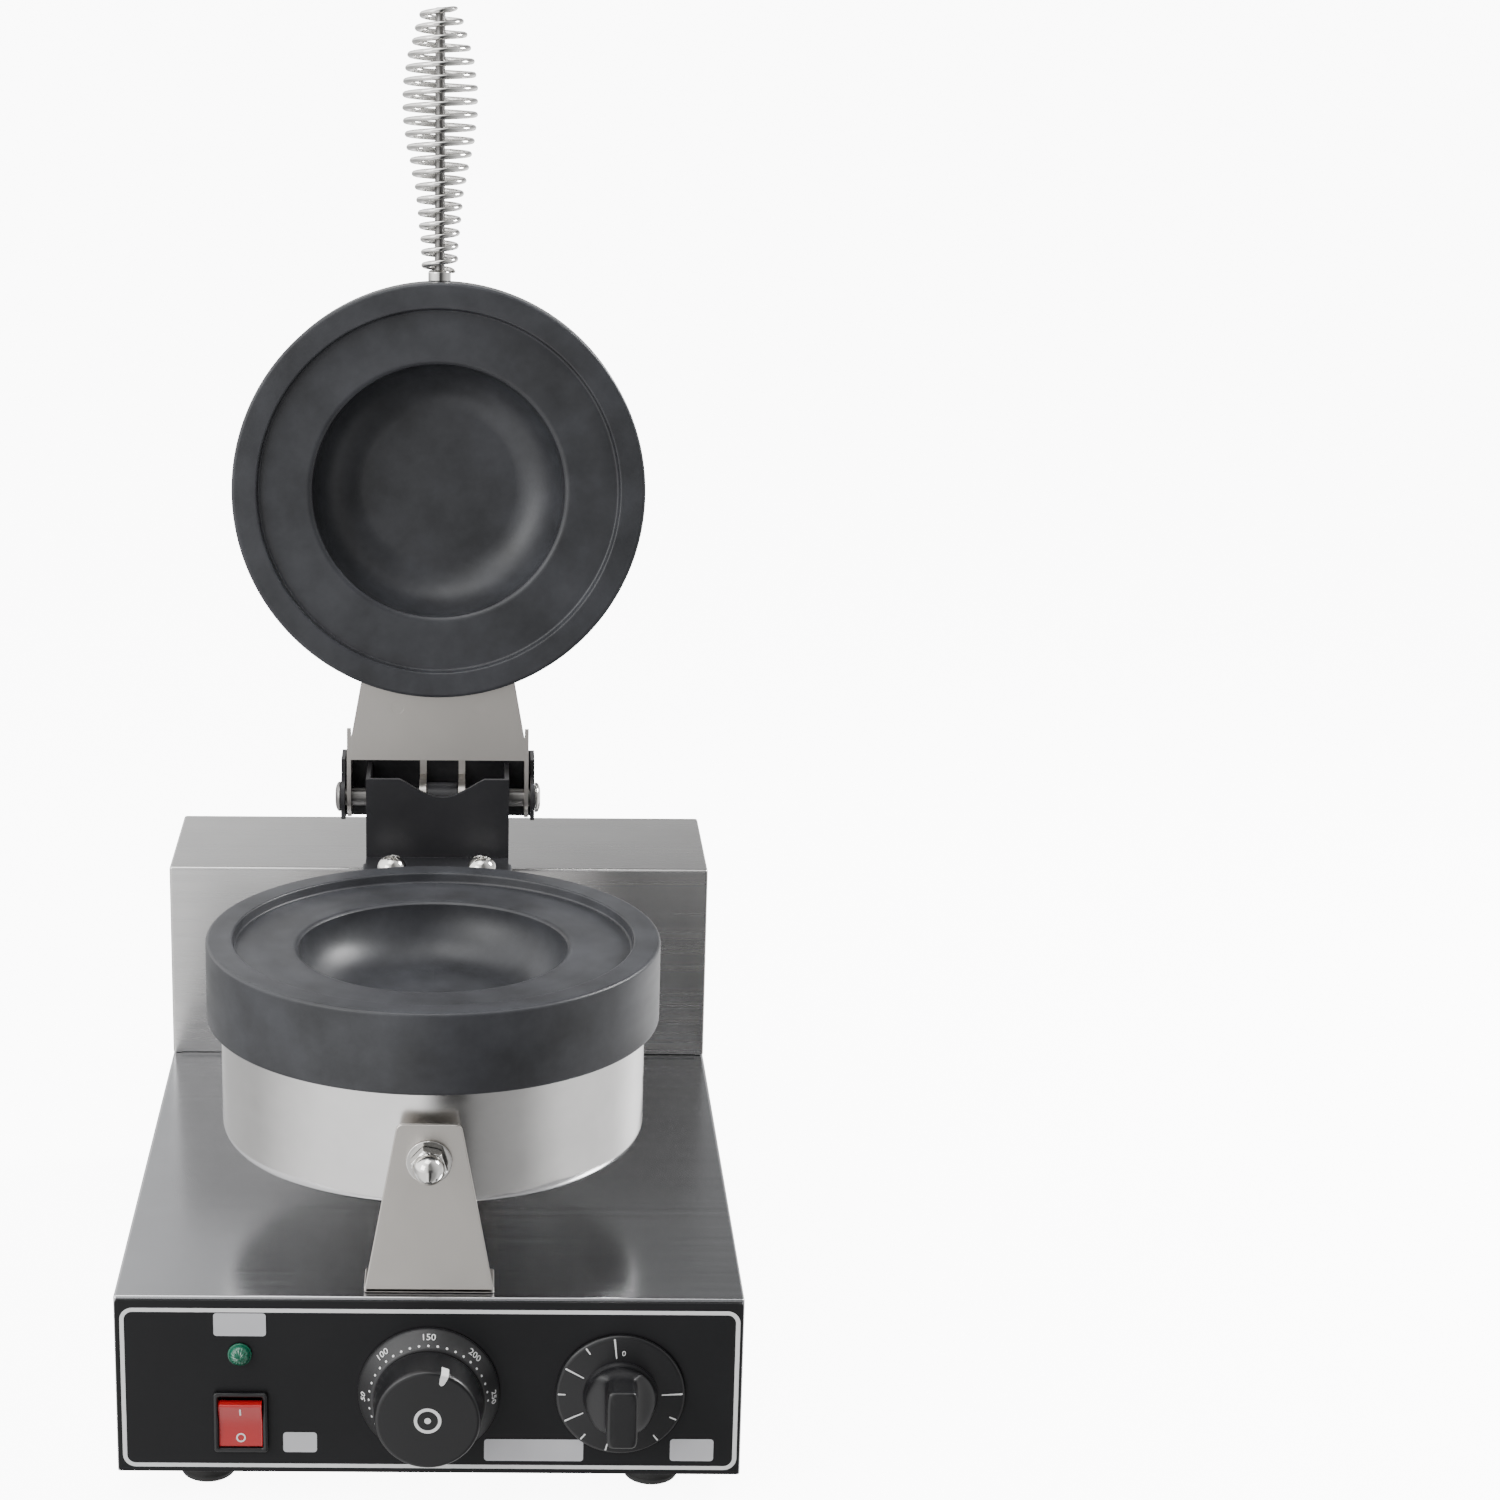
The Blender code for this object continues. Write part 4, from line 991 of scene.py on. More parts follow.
@dataclass
class RockerSwitch(Control):
    """Red rocker with its on and off marks in a black frame."""

    place: Point2 = SWITCH
    pivot_y: float = 0.0025
    rest: float = 10.0
    half_width: float = 0.0086
    mark_z: float = 0.0062

    def build(self) -> None:
        """Make the frame, the rocker and the two marks."""
        opening = rounded_loop(0.0178, 0.0224, 0.0008)[::-1]
        bezel = sheet([rounded_loop(0.0215, 0.0260, 0.0013), opening], 0.0020, 0.0006)
        sleeve = sheet([rounded_loop(0.0192, 0.0240, 0.0008), opening], 0.0150, 0.0003)
        floor = sheet([rounded_loop(0.0190, 0.0238, 0.0008)], 0.0080, 0.0004)
        housing = (self.at(bezel, -GAP), self.at(sleeve, 0.0150 - GAP), self.at(floor, 0.0200))
        job = Job("base", BLACK_PLASTIC, "black_plastic", ("switch_body",))
        job.make("switch_frame", *housing)
        job = Job("rocker", RED_PLASTIC, "red_plastic", ("switch_rocker",))
        job.make("red_rocker", self.turned(self.rocker()))
        bar = printed([rounded_loop(0.0007, 0.0040, 0.0003, 2)])
        ring = printed([disc_loop(0.0019, 60), circle_loop((0, 0), 0.0013, 60)])
        marks = [self.on_face(bar, self.mark_z), self.on_face(ring, -self.mark_z)]
        Job("rocker", WHITE_PRINT).make("rocker_marks", *marks)

    def rocker(self) -> Patch:
        """The rocker's side outline (y, z), eased and carried across its width."""
        outline = eased(
            [
                (-0.0035, 0.0), (-0.0041, -0.0040), (-0.0060, -0.0102), (-0.0012, -0.0099),
                (0.0032, -0.0058), (0.0032, 0.0058), (-0.0012, 0.0099), (-0.0060, 0.0102),
                (-0.0041, 0.0040), (-0.0035, 0.0),
            ],
            (0.003, 0.0012, 0.002, 0.001, 0.001, 0.002, 0.0012, 0.003), 6,
        )[:-1]
        return sheet([outline[::-1]], 2 * self.half_width, 0.0005).placed(
            (-self.half_width, 0, 0), Facing.RIGHT
        )

    def turned(self, patch: Patch) -> Patch:
        """A patch drawn about the pivot, tilted to the rest position and moved there."""
        return patch.tilted(self.rest).placed((self.place[0], self.pivot_y, self.place[1]))

    def on_face(self, mark: Patch, z: float) -> Patch:
        """Lay a mark on the upper or lower half of the rocker's face.

        Args:
            mark: A flat mark about its own middle.
            z: Height of its middle above the pivot.

        Returns:
            The mark in the working frame.
        """
        fold_y, fold_z, rise, run = -0.0041, 0.0040, 0.0019, 0.0062
        slope = math.degrees(math.atan2(rise, run)) * (1 if z > 0 else -1)
        y = fold_y - rise * (abs(z) - fold_z) / run
        flat = mark.placed((0, 0, 0), Facing.FRONT).tilted(slope)
        return self.turned(flat.placed((0, y, z)))


@dataclass
class PilotLamp(Control):
    """Green lens with a ribbed dome and a thin rim."""

    place: Point2 = LAMP
    radius: float = 0.0048
    dome: float = 0.0043
    rim: float = 0.0012
    height: float = 0.0050

    def build(self) -> None:
        """Make the lens: a dome whose height ripples with the angle, on a short rim."""
        dome_r, rim_h, r = self.dome, self.rim, self.radius
        angle = np.radians(np.linspace(0, 90, 17))
        rise = (self.height - rim_h) * np.cos(angle)
        dome = np.stack((dome_r * np.sin(angle), rim_h + rise), axis=1)
        rim = eased(
            [(dome_r, rim_h), (r, rim_h), (r, GAP), (0.0040, GAP), (0.0040, -0.0035), (0.0, -0.0035)],
            (0.0003, 0.0003, 0.0002, 0.0003), 3,
        )
        lens = revolved(np.concatenate((dome, rim[1:])), 96)
        x, y, z = lens.points.T
        ripple = 0.00014 * np.cos(16 * np.arctan2(y, x)) * np.sin(np.pi * np.hypot(x, y) / dome_r)
        lens.points[:, 2] += np.where(z > rim_h + 0.0001, ripple, 0.0)
        Job("base", GREEN_LENS, "green_lens", ("lamp_lens",)).make("lamp_dome", self.at(lens))


@dataclass
class Thermostat(Control):
    """Fixed skirt with dots and numbers, and the round knob with its pointer."""

    place: Point2 = THERMOSTAT
    skirt_foot: Point2 = (0.0276, 0.0026)
    skirt_shoulder: float = 0.0226
    skirt_top: float = 0.0088
    bore: float = 0.0033
    face: float = 0.0254
    pointer: float = 19.0
    print_depth: float = 0.00012
    dot_radius: float = 0.0236
    number_radius: float = 0.0259
    dots: int = 24
    first_dot: float = -117.0
    dot_step: float = 9.0
    numbers: tuple[tuple[str, float], ...] = (
        ("50", -90.0), ("100", -45.0), ("150", 0.0), ("200", 45.0), ("250", 90.0)
    )
    slope: tuple[Point2, Point2] = field(init=False)

    def __post_init__(self) -> None:
        """Work out the slope of the skirt, on which the scale lies."""
        low, high = np.array(self.skirt_foot), np.array((self.skirt_shoulder, self.skirt_top))
        out = (low - high) / np.linalg.norm(low - high)
        self.slope = (tuple((low + high) / 2), tuple(out))

    def build(self) -> None:
        """Make the skirt, its scale, the knob and the marks on the knob."""
        self.build_skirt()
        self.build_knob()

    def build_skirt(self) -> None:
        """The turned skirt, its dots and its numbers wrapped on the slope."""
        bore, top, rim = self.bore, self.skirt_top, 0.0282
        profile = eased(
            [
                (bore, GAP), (bore, top), (self.skirt_shoulder, top), self.skirt_foot,
                (rim, 0.0016), (rim, GAP), (bore, GAP),
            ],
            (0.0003, 0.0008, 0.0006, 0.0005, 0.0002), 4,
        )
        Job("base", SKIRT_PLASTIC, "black_plastic", ("thermostat_skirt",)).make(
            "graduated_skirt", self.at(revolved(profile, DIAL))
        )
        (radius, _), (dr, _) = self.slope
        dot = printed([disc_loop(0.00052)], 0.0001)
        dot.points[:, 1] += (self.dot_radius - radius) / dr
        turns = self.first_dot + self.dot_step * np.arange(self.dots)
        dots = [self.at(wrapped(dot, angle, self.slope)) for angle in turns]
        Job("base", WHITE_PRINT).make("skirt_dots", *dots)
        numbers = []
        for text, angle in self.numbers:
            flat = lettering(text, 0.0027, 0.00012)
            flat.points[:, 1] += (self.number_radius - radius) / dr
            numbers.append(self.at(wrapped(flat, angle, self.slope)))
        Job("base", WHITE_PRINT).make("skirt_numbers", *numbers)

    def knob_side(self) -> Array:
        """The knob's profile from its face's middle to its foot, (radius, height)."""
        top, seat, foot = self.face - self.print_depth, self.skirt_top + GAP, 0.0218
        return eased(
            [
                (0.0, top), (0.0204, top), (0.0209, top - 0.0016), (foot, seat + 0.0010),
                (foot, seat), (self.bore, seat),
            ],
            (0.0011, 0.0008, 0.0004, 0.0002), 5,
        )

    def build_knob(self) -> None:
        """The knob, its pointer and a plain ring emblem."""
        socket_end = 0.0173
        socket = [(self.bore, socket_end), (0.0, socket_end)]
        profile = np.concatenate((self.knob_side(), socket))
        Job("thermostat_dial", BLACK_PLASTIC, "black_plastic", ("thermostat_knob",)).make(
            "thermostat_grip", self.at(revolved(profile, DIAL))
        )
        pointer = self.at(self.knob_pointer(0.0160, 0.0258), spin=self.pointer)
        Job("thermostat_dial", WHITE_PRINT).make("knob_pointer", pointer)
        ring = printed([disc_loop(0.0054, 72), circle_loop((0, 0), 0.0041, 72)], edge=0.00003)
        dot = printed([disc_loop(0.0013)], edge=0.00003)
        face = (0, 0, self.face - self.print_depth)
        emblem = [self.at(mark.placed(face)) for mark in (ring, dot)]
        Job("thermostat_dial", WHITE_PRINT).make("knob_emblem", *emblem)

    def knob_pointer(self, start: float, end: float) -> Patch:
        """A tapered print that runs over the face's edge and down the knob's side.

        A point at length s along the profile (r, h) and x across it goes to (x, r, h) on the
        face and to (x, (r^2 - x^2)^0.5, h) on the side, both raised by the print's depth.

        Args:
            start: Length along the knob's profile where the pointer begins.
            end: Length where it ends.

        Returns:
            The closed print about the dial's axis.
        """
        taper_end, flat_end, tip, sunk = 0.0200, 0.0195, 0.0008, 0.0003
        line = self.knob_side()
        length = lengths_along(line)
        steps = np.linspace(start, end, 28)
        radius, height = (np.interp(steps, length, line[:, i])[:, None] for i in (0, 1))
        half = 0.0009 + 0.0006 * smoothstep(start, taper_end, steps)
        half = half * np.sqrt(np.clip((steps - start) / tip, 0.0, 1.0))
        x = half[:, None] * np.linspace(-1, 1, 9)
        side = np.sqrt(np.maximum((radius + self.print_depth) ** 2 - x**2, 0))
        y = np.where(steps[:, None] < flat_end, radius, side)
        top = np.stack((x, y, height + self.print_depth + 0 * x), axis=-1)
        low = top - np.array((0, sunk, sunk))
        shell = np.concatenate((top, low[:, ::-1], top[:, :1]), axis=1)
        ends = np.broadcast_to(shell.mean(axis=1, keepdims=True), shell.shape)
        shell = np.concatenate((ends[:1], shell, ends[-1:]))
        return grid_patch(shell, shell[..., :2])


@dataclass
class Timer(Control):
    """Timer knob: a ticked disc, a flared hub and a bar grip in one moulding."""

    place: Point2 = TIMER
    disc_top: float = 0.0027
    front: float = 0.0250
    hub: float = 0.0150
    grip: Point2 = (0.0060, 0.0121)
    round_over: float = 0.0012
    tick_end: float = 0.0248
    tick_width: float = 0.0006
    long_ticks: tuple[float, ...] = (-6.0, -62.0, -117.0, 88.0)
    short_ticks: tuple[float, ...] = (-34.0, -89.0, -141.0, -167.0, 115.0, 142.0)

    def build(self) -> None:
        """Make the disc, the grip and the ticks."""
        rim, back, middle = 0.0258, 0.0008, self.disc_top + 0.0006
        disc = eased(
            [
                (0.0033, back), (rim, back), (rim, 0.0020), (0.0250, self.disc_top),
                (0.0130, middle), (0.0, middle),
            ],
            (0.0003, 0.0006, 0.0006, 0.0010), 4,
        )
        Job("timer_dial", BLACK_PLASTIC, "black_plastic", ("timer_knob",)).make(
            "timer_grip", self.at(revolved(disc, DIAL)), self.at(self.hub_and_grip())
        )
        ticks = [self.tick(angle, 0.0164) for angle in self.long_ticks]
        ticks += [self.tick(angle, 0.0217) for angle in self.short_ticks]
        zero = wrapped(lettering("0", 0.0022, 0.0001), 3.5, self.slope(0.0185, 0.00034))
        Job("timer_dial", WHITE_PRINT).make("timer_ticks", *ticks, self.at(zero))

    def hub_and_grip(self) -> Patch:
        """A round hub that draws in to a bar grip, with the front's edge rounded over.

        Half widths and exponent blend from the hub's to the grip's by a smooth step of the
        height; round the edge they shrink by c (1 - cos a) while the height gains c sin a.
        """
        over = self.round_over
        shoulder = self.front - over
        edge = np.radians(np.linspace(0, 90, 9))
        rise = np.linspace(self.disc_top - 0.0004, shoulder, 40)
        level = np.concatenate((rise, shoulder + over * np.sin(edge)))
        blend = smoothstep(0.0060, 0.0135, level)
        root = self.hub * (1 - 0.06 * smoothstep(0.0030, 0.0060, level))
        inset = np.concatenate((np.zeros(len(rise)), over * (1 - np.cos(edge))))
        half = np.stack([root + (reach - root) * blend - inset for reach in self.grip], axis=1)
        half = np.concatenate((half, half[-1:] * 0.6, half[-1:] * 0.0))
        level = np.concatenate((level, [self.front, self.front]))
        exponent = 2 + 5.0 * np.concatenate((blend, blend[-1:], blend[-1:]))
        return lofted(half, exponent, level, 128)

    def slope(self, radius: float, rise: float) -> tuple[Point2, Point2]:
        """The disc's slope at a radius, a rise above its rim."""
        return (radius, self.disc_top + rise), (1.0, -0.05)

    def tick(self, angle: float, inner: float) -> Patch:
        """A raised line on the disc, laid along its slope as far as the rim.

        Args:
            angle: Its place in degrees, clockwise from the top.
            inner: Radius where it begins.

        Returns:
            The line in its place on the panel.
        """
        outer, width = self.tick_end, self.tick_width
        flat = printed([rounded_loop(width, outer - inner, width * 0.45, 3)], 0.0001)
        middle = (inner + outer) / 2
        slope = self.slope(middle, 0.0006 * (0.0250 - middle) / 0.0120)
        return self.at(wrapped(flat, angle, slope))


# ------------------------------------------------------------------ moulds


@dataclass
class MouldPlate:
    """A cast plate with a flat rim, a shallow recess and a round bowl, and its drawn shell."""

    radius: float
    bottom: float
    shell_radius: float
    shell_wall: float = 0.001
    thickness: float = 0.034
    recess_margin: float = 0.0113
    recess_depth: float = 0.0043
    bowl_radius: float = 0.057
    bowl_flat: float = 0.034
    bowl_depth: float = 0.0238
    centre_y: float = 0.101

    def profile(self, bowl_up: bool) -> Array:
        """The turned outline from the axis on the back to the axis in the bowl.

        The bowl's wall is a quarter of an ellipse: r = flat + (R - flat) sin a and
        h = depth (1 - cos a) above its floor, with a from 0 to 90 degrees.

        Args:
            bowl_up: Whether the bowl faces up, as in the lower plate.

        Returns:
            The outline (radius, height), at the plate's own height.
        """
        top, bowl = self.thickness, self.bowl_radius
        recess = self.radius - self.recess_margin
        floor = top - self.recess_depth
        bowl_floor = floor - self.bowl_depth
        back = eased(
            [(0.0, 0.0), (self.radius, 0.0), (self.radius, top), (recess + 0.0002, top),
             (recess - 0.0003, floor), (bowl, floor), (bowl - 0.0010, floor - 0.0008)],
            (0.0014, 0.0016, 0.0008, 0.0010, 0.0012), 5,
        )
        angle = np.radians(np.linspace(90, 0, 24))
        wall = np.stack(
            (self.bowl_flat + (bowl - 0.0012 - self.bowl_flat) * np.sin(angle),
             bowl_floor + (self.bowl_depth - 0.0010) * (1 - np.cos(angle))), axis=1
        )
        middle = np.array([(self.bowl_flat * 0.6, bowl_floor), (0.0, bowl_floor)])
        line = np.concatenate((back, wall, middle))
        if not bowl_up:
            line[:, 1] = top - line[:, 1]
        return line + np.array((0, self.bottom))

    def plate(self, bowl_up: bool) -> Patch:
        """The turned plate in its place."""
        return revolved(self.profile(bowl_up), LARGE).placed((0, self.centre_y, 0))

    def shell(self, floor: float, rim: float) -> Array:
        """Outline of the drawn shell, a thin cup with an eased floor edge.

        Args:
            floor: Height of the outside of its floor.
            rim: Height of its rim, above or below the floor.

        Returns:
            The outline (radius, height).
        """
        r, w = self.shell_radius, self.shell_wall
        inside = floor + math.copysign(w, rim - floor)
        return eased(
            [(0.0, floor), (r, floor), (r, rim), (r - w, rim), (r - w, inside), (0.0, inside)],
            (0.006, 0.0004, 0.0004, 0.005), 8,
        )


def block(low: Point3, high: Point3, corner: float, edge: float) -> Patch:
    """A block with upright rounded corners and eased edges between two corners.

    Args:
        low: Its lowest corner.
        high: Its highest corner.
        corner: Radius of the upright corners.
        edge: Radius of the edges above and below.

    Returns:
        The closed block.
    """
    (x0, y0, z0), (x1, y1, z1) = low, high
    loop = rounded_loop(x1 - x0, y1 - y0, corner, 5)
    return sheet([loop], z1 - z0, edge).placed(((x0 + x1) / 2, (y0 + y1) / 2, z0))


def pan_head(radius: float, height: float) -> Patch:
    """A domed screw head with a cross recess.

    The dome is height (0.12 + 0.88 (1 - (r / R)^2)^0.5). Inside the cross, where |x| < w or
    |y| < w while |x| and |y| < L, it sinks by 0.45 of the height through a smooth step.

    Args:
        radius: Radius of the head.
        height: Height of the dome's middle above its seat.

    Returns:
        The closed head, its seat at z = 0.
    """
    share = np.sin(np.linspace(0, RIGHT_ANGLE, 36))
    angle = np.linspace(0, 2 * np.pi, 121)
    r = radius * share[:, None]
    x, y = r * np.cos(angle), r * np.sin(angle)
    dome = height * (0.12 + 0.88 * np.sqrt(np.maximum(1 - share**2, 0)))[:, None] + 0 * x
    width, reach, soft = radius * 0.13, radius * 0.52, radius * 0.05
    ax, ay = np.abs(x), np.abs(y)
    arm_x = (1 - smoothstep(width, width + soft, ay)) * (1 - smoothstep(reach, reach + soft, ax))
    arm_y = (1 - smoothstep(width, width + soft, ax)) * (1 - smoothstep(reach, reach + soft, ay))
    dome -= np.maximum(arm_x, arm_y) * height * 0.45
    top = np.stack((x, y, dome), axis=-1)
    foot = np.stack((x[-1:], y[-1:], np.zeros_like(x[-1:])), axis=-1)
    centre = np.zeros_like(foot)
    points = np.concatenate((top, foot, centre))
    return grid_patch(points, points[..., :2])


@dataclass
class LowerMould(MouldPlate):
    """Fixed mould: plate with the hinge lug, drawn shell and the support brackets."""

    radius: float = 0.094
    bottom: float = 0.170
    shell_radius: float = 0.088
    shell_bottom: float = 0.120
    bracket_foot: float = 0.0873
    bracket_top: float = 0.1588
    bracket_thickness: float = 0.002
    bolt_z: float = 0.1435

    def build(self) -> None:
        """Make the plate, the shell and both supports."""
        lug = block((-0.0335, 0.183, 0.180), (0.0335, 0.224, 0.1957), 0.002, 0.0008)
        Job("base", NONSTICK, "nonstick_aluminium", ("lower_mould_plate",)).make(
            "lower_plate", self.plate(True), lug
        )
        cup = self.shell(self.shell_bottom, self.bottom - GAP)
        Job("base", SHELL_STEEL, "bright_steel", ("lower_shell",)).turn(
            "lower_drawn_shell", cup, LARGE, (0, self.centre_y, 0)
        )
        self.build_support("front", 0.006, 1)
        self.build_support("rear", 0.1965, -1)
        self.build_nut()

    def build_support(self, name: str, y: float, back: int) -> None:
        """A tapered upright with rounded top corners, on a foot turned under the shell.

        Args:
            name: "front" or "rear".
            y: Middle of the upright's thickness.
            back: 1 where the foot goes to the back, -1 to the front.
        """
        thick, base, top = self.bracket_thickness, 0.0258, 0.01265
        height = self.bracket_top - self.bracket_foot
        upright = eased(
            [(0, 0), (base, 0), (top, height), (-top, height), (-base, 0), (0, 0)],
            (0.0012, 0.0026, 0.0026, 0.0012), 6,
        )[:-1]
        hole = circle_loop((0, self.bolt_z - self.bracket_foot), 0.0033)
        plate = sheet([upright, hole], thick, 0.0004).placed(
            (0, y + thick / 2, self.bracket_foot), Facing.FRONT
        )
        reach = (y - thick / 2, y + 0.018) if back > 0 else (y - 0.018, y + thick / 2)
        low, high = self.bracket_foot, self.bracket_foot + thick
        toe = block((-base, reach[0], low), (base, reach[1], high), 0.001, 0.0005)
        job = Job("base", BRACKET_STEEL, "brushed_steel", (f"{name}_support_bracket",))
        job.make(f"{name}_support", plate, toe)

    def build_nut(self) -> None:
        """Washer and domed hexagon nut on the front bolt.

        The hexagon's radius at angle t is a / cos((t modulo 60 degrees) - 30 degrees), cut by
        a cone above and below as a chamfer. The dome is an arc over its inner radius.
        """
        bore, rim, low, high = 0.0032, 0.0090, 0.0013, 0.0023
        washer = eased(
            [(bore, low), (rim, low), (rim, high), (bore, high), (bore, low)],
            (0.0002, 0.0003, 0.0003), 3,
        )
        Job("base", CHROME, "chrome", ("front_washer",)).turn(
            "bolt_washer", washer, 72, (0, 0.006, self.bolt_z), Facing.FRONT
        )
        angle = np.radians(np.linspace(0, 360, 97))[None]
        level = np.array((0.0003, 0.0004, 0.0012, 0.0048, 0.0054, 0.0058))[:, None]
        flats = 0.0065 / np.cos(np.mod(angle, np.pi / 3) - np.pi / 6)
        chamfer = np.array((0.0069, 0.0072, 0.0080, 0.0080, 0.0070, 0.0063))[:, None]
        radius = np.minimum(flats, chamfer)
        side = np.stack(
            (radius * np.cos(angle), radius * np.sin(angle), level + 0 * angle), axis=-1
        )
        slant = np.radians(np.linspace(90, 0, 20))
        dome = np.stack((0.0062 * np.sin(slant), 0.0067 + 0.0063 * np.cos(slant)), axis=1)
        foot = np.zeros((1, angle.shape[1], 3)) + np.array((0, 0, GAP))
        hexagon = np.concatenate((foot, side))
        nut = grid_patch(hexagon, hexagon[..., :2])
        cap = revolved(np.concatenate(([(0.0, 0.0040), (0.0062, 0.0040)], dome)), 72)
        seat = (0, 0.0034, self.bolt_z)
        Job("base", CHROME, "chrome", ("front_acorn_nut",)).make(
            "acorn_nut", nut.placed(seat, Facing.FRONT, 12.0), cap.placed(seat, Facing.FRONT)
        )


@dataclass
class UpperMould(MouldPlate):
    """Moving mould, drawn closed: plate with its lug, drawn shell and bracket screws."""

    radius: float = 0.091
    bottom: float = 0.2043
    shell_radius: float = 0.084
    shell_height: float = 0.042

    def build(self) -> None:
        """Make the plate, the shell and the two screws of the lid's bracket."""
        lug = block((-0.026, 0.182, 0.2136), (0.026, 0.203, 0.2260), 0.0015, 0.0008)
        Job("lid", NONSTICK, "nonstick_aluminium", ("upper_mould_plate",)).make(
            "upper_plate", self.plate(False), lug
        )
        low = self.bottom + self.thickness + GAP
        cup = self.shell(low + self.shell_height, low)
        Job("lid", SHELL_STEEL, "bright_steel", ("upper_shell",)).turn(
            "upper_drawn_shell", cup, LARGE, (0, self.centre_y, 0)
        )
        head = pan_head(0.0052, 0.0034)
        for name, side in (("left", -1), ("right", 1)):
            job = Job("lid", CHROME, "chrome", (f"upper_bracket_screw_{name}",))
            job.make(f"lid_screw_{name}", head.placed((side * 0.018, 0.1975, 0.2261)))


# ------------------------------------------------------------------ hinge


@dataclass
class Hinge:
    """The black bracket, the lid's steel bracket, the pin and their screws."""

    y: float = 0.240
    z: float = 0.222

    def build(self) -> None:
        """Make both brackets, the screws, the pin and the spacer."""
        Job("base", BLACK_PAINT, "black_paint", sharp=40).refine(
            "hinge_yoke", "hinge_bracket", 0.0006, 3
        )
        Job("lid", BRACKET_STEEL, "brushed_steel", sharp=40).refine(
            "lid_bracket", "upper_hinge_bracket", 0.0005, 3
        )
        plug = sheet([disc_loop(0.00292, 36)], 0.0017, 0.00008, 1)
        plugs = [plug.placed((side * 0.018, 0.1975, 0.21155)) for side in (-1, 1)]
        Job("lid", BRACKET_STEEL, "brushed_steel").make("lid_bracket_plugs", *plugs)
        head = pan_head(0.0065, 0.0068)
        for name, side in (("left", -1), ("right", 1)):
            job = Job("base", CHROME, "chrome", (f"hinge_bracket_screw_{name}",))
            place = (side * 0.020, 0.2060, 0.1981)
            job.make(f"yoke_screw_{name}", head.placed(place, spin=25.0 * side))
        self.build_pin()

    def build_pin(self) -> None:
        """The pin with its domed head, the cap on its other end and the spacer on it."""
        head = [(0.0040, 0.0437), (0.0068, 0.0437), (0.0066, 0.0452), (0.0042, 0.0462), (0.0, 0.0463)]
        pin = eased(
            [(0.0, -0.0440), (0.0040, -0.0440), *head], (0.0003, 0.0001, 0.0006, 0.0008, 0.001), 4
        )
        cap = eased(
            [(0.0, 0.0445), (0.0043, 0.0445), (0.0043, 0.0438), *head[1:]],
            (0.0001, 0.0002, 0.0004, 0.0008, 0.001), 4,
        )
        half, bore, radius = 0.0069, 0.0043, 0.0065
        spacer = eased(
            [(bore, -half), (radius, -half), (radius, half), (bore, half), (bore, -half)], 0.0004, 3
        )
        axis = (0, self.y, self.z)
        job = Job("base", DARK_STEEL, "chrome", ("hinge_pin",))
        job.turn("pivot_pin", pin, 48, axis, Facing.LEFT)
        job = Job("base", CHROME, "chrome", ("hinge_pin_cap",))
        job.turn("pivot_cap", cap, 48, axis, Facing.RIGHT)
        # The steel spacer is drawn in black paint: painted shade for the dark inside of the hinge's
        # notch.
        job = Job("base", BLACK_PAINT, "zinc_steel", ("hinge_spacer",))
        job.turn("pivot_spacer", spacer, 48, (0.002, self.y, self.z), Facing.RIGHT)


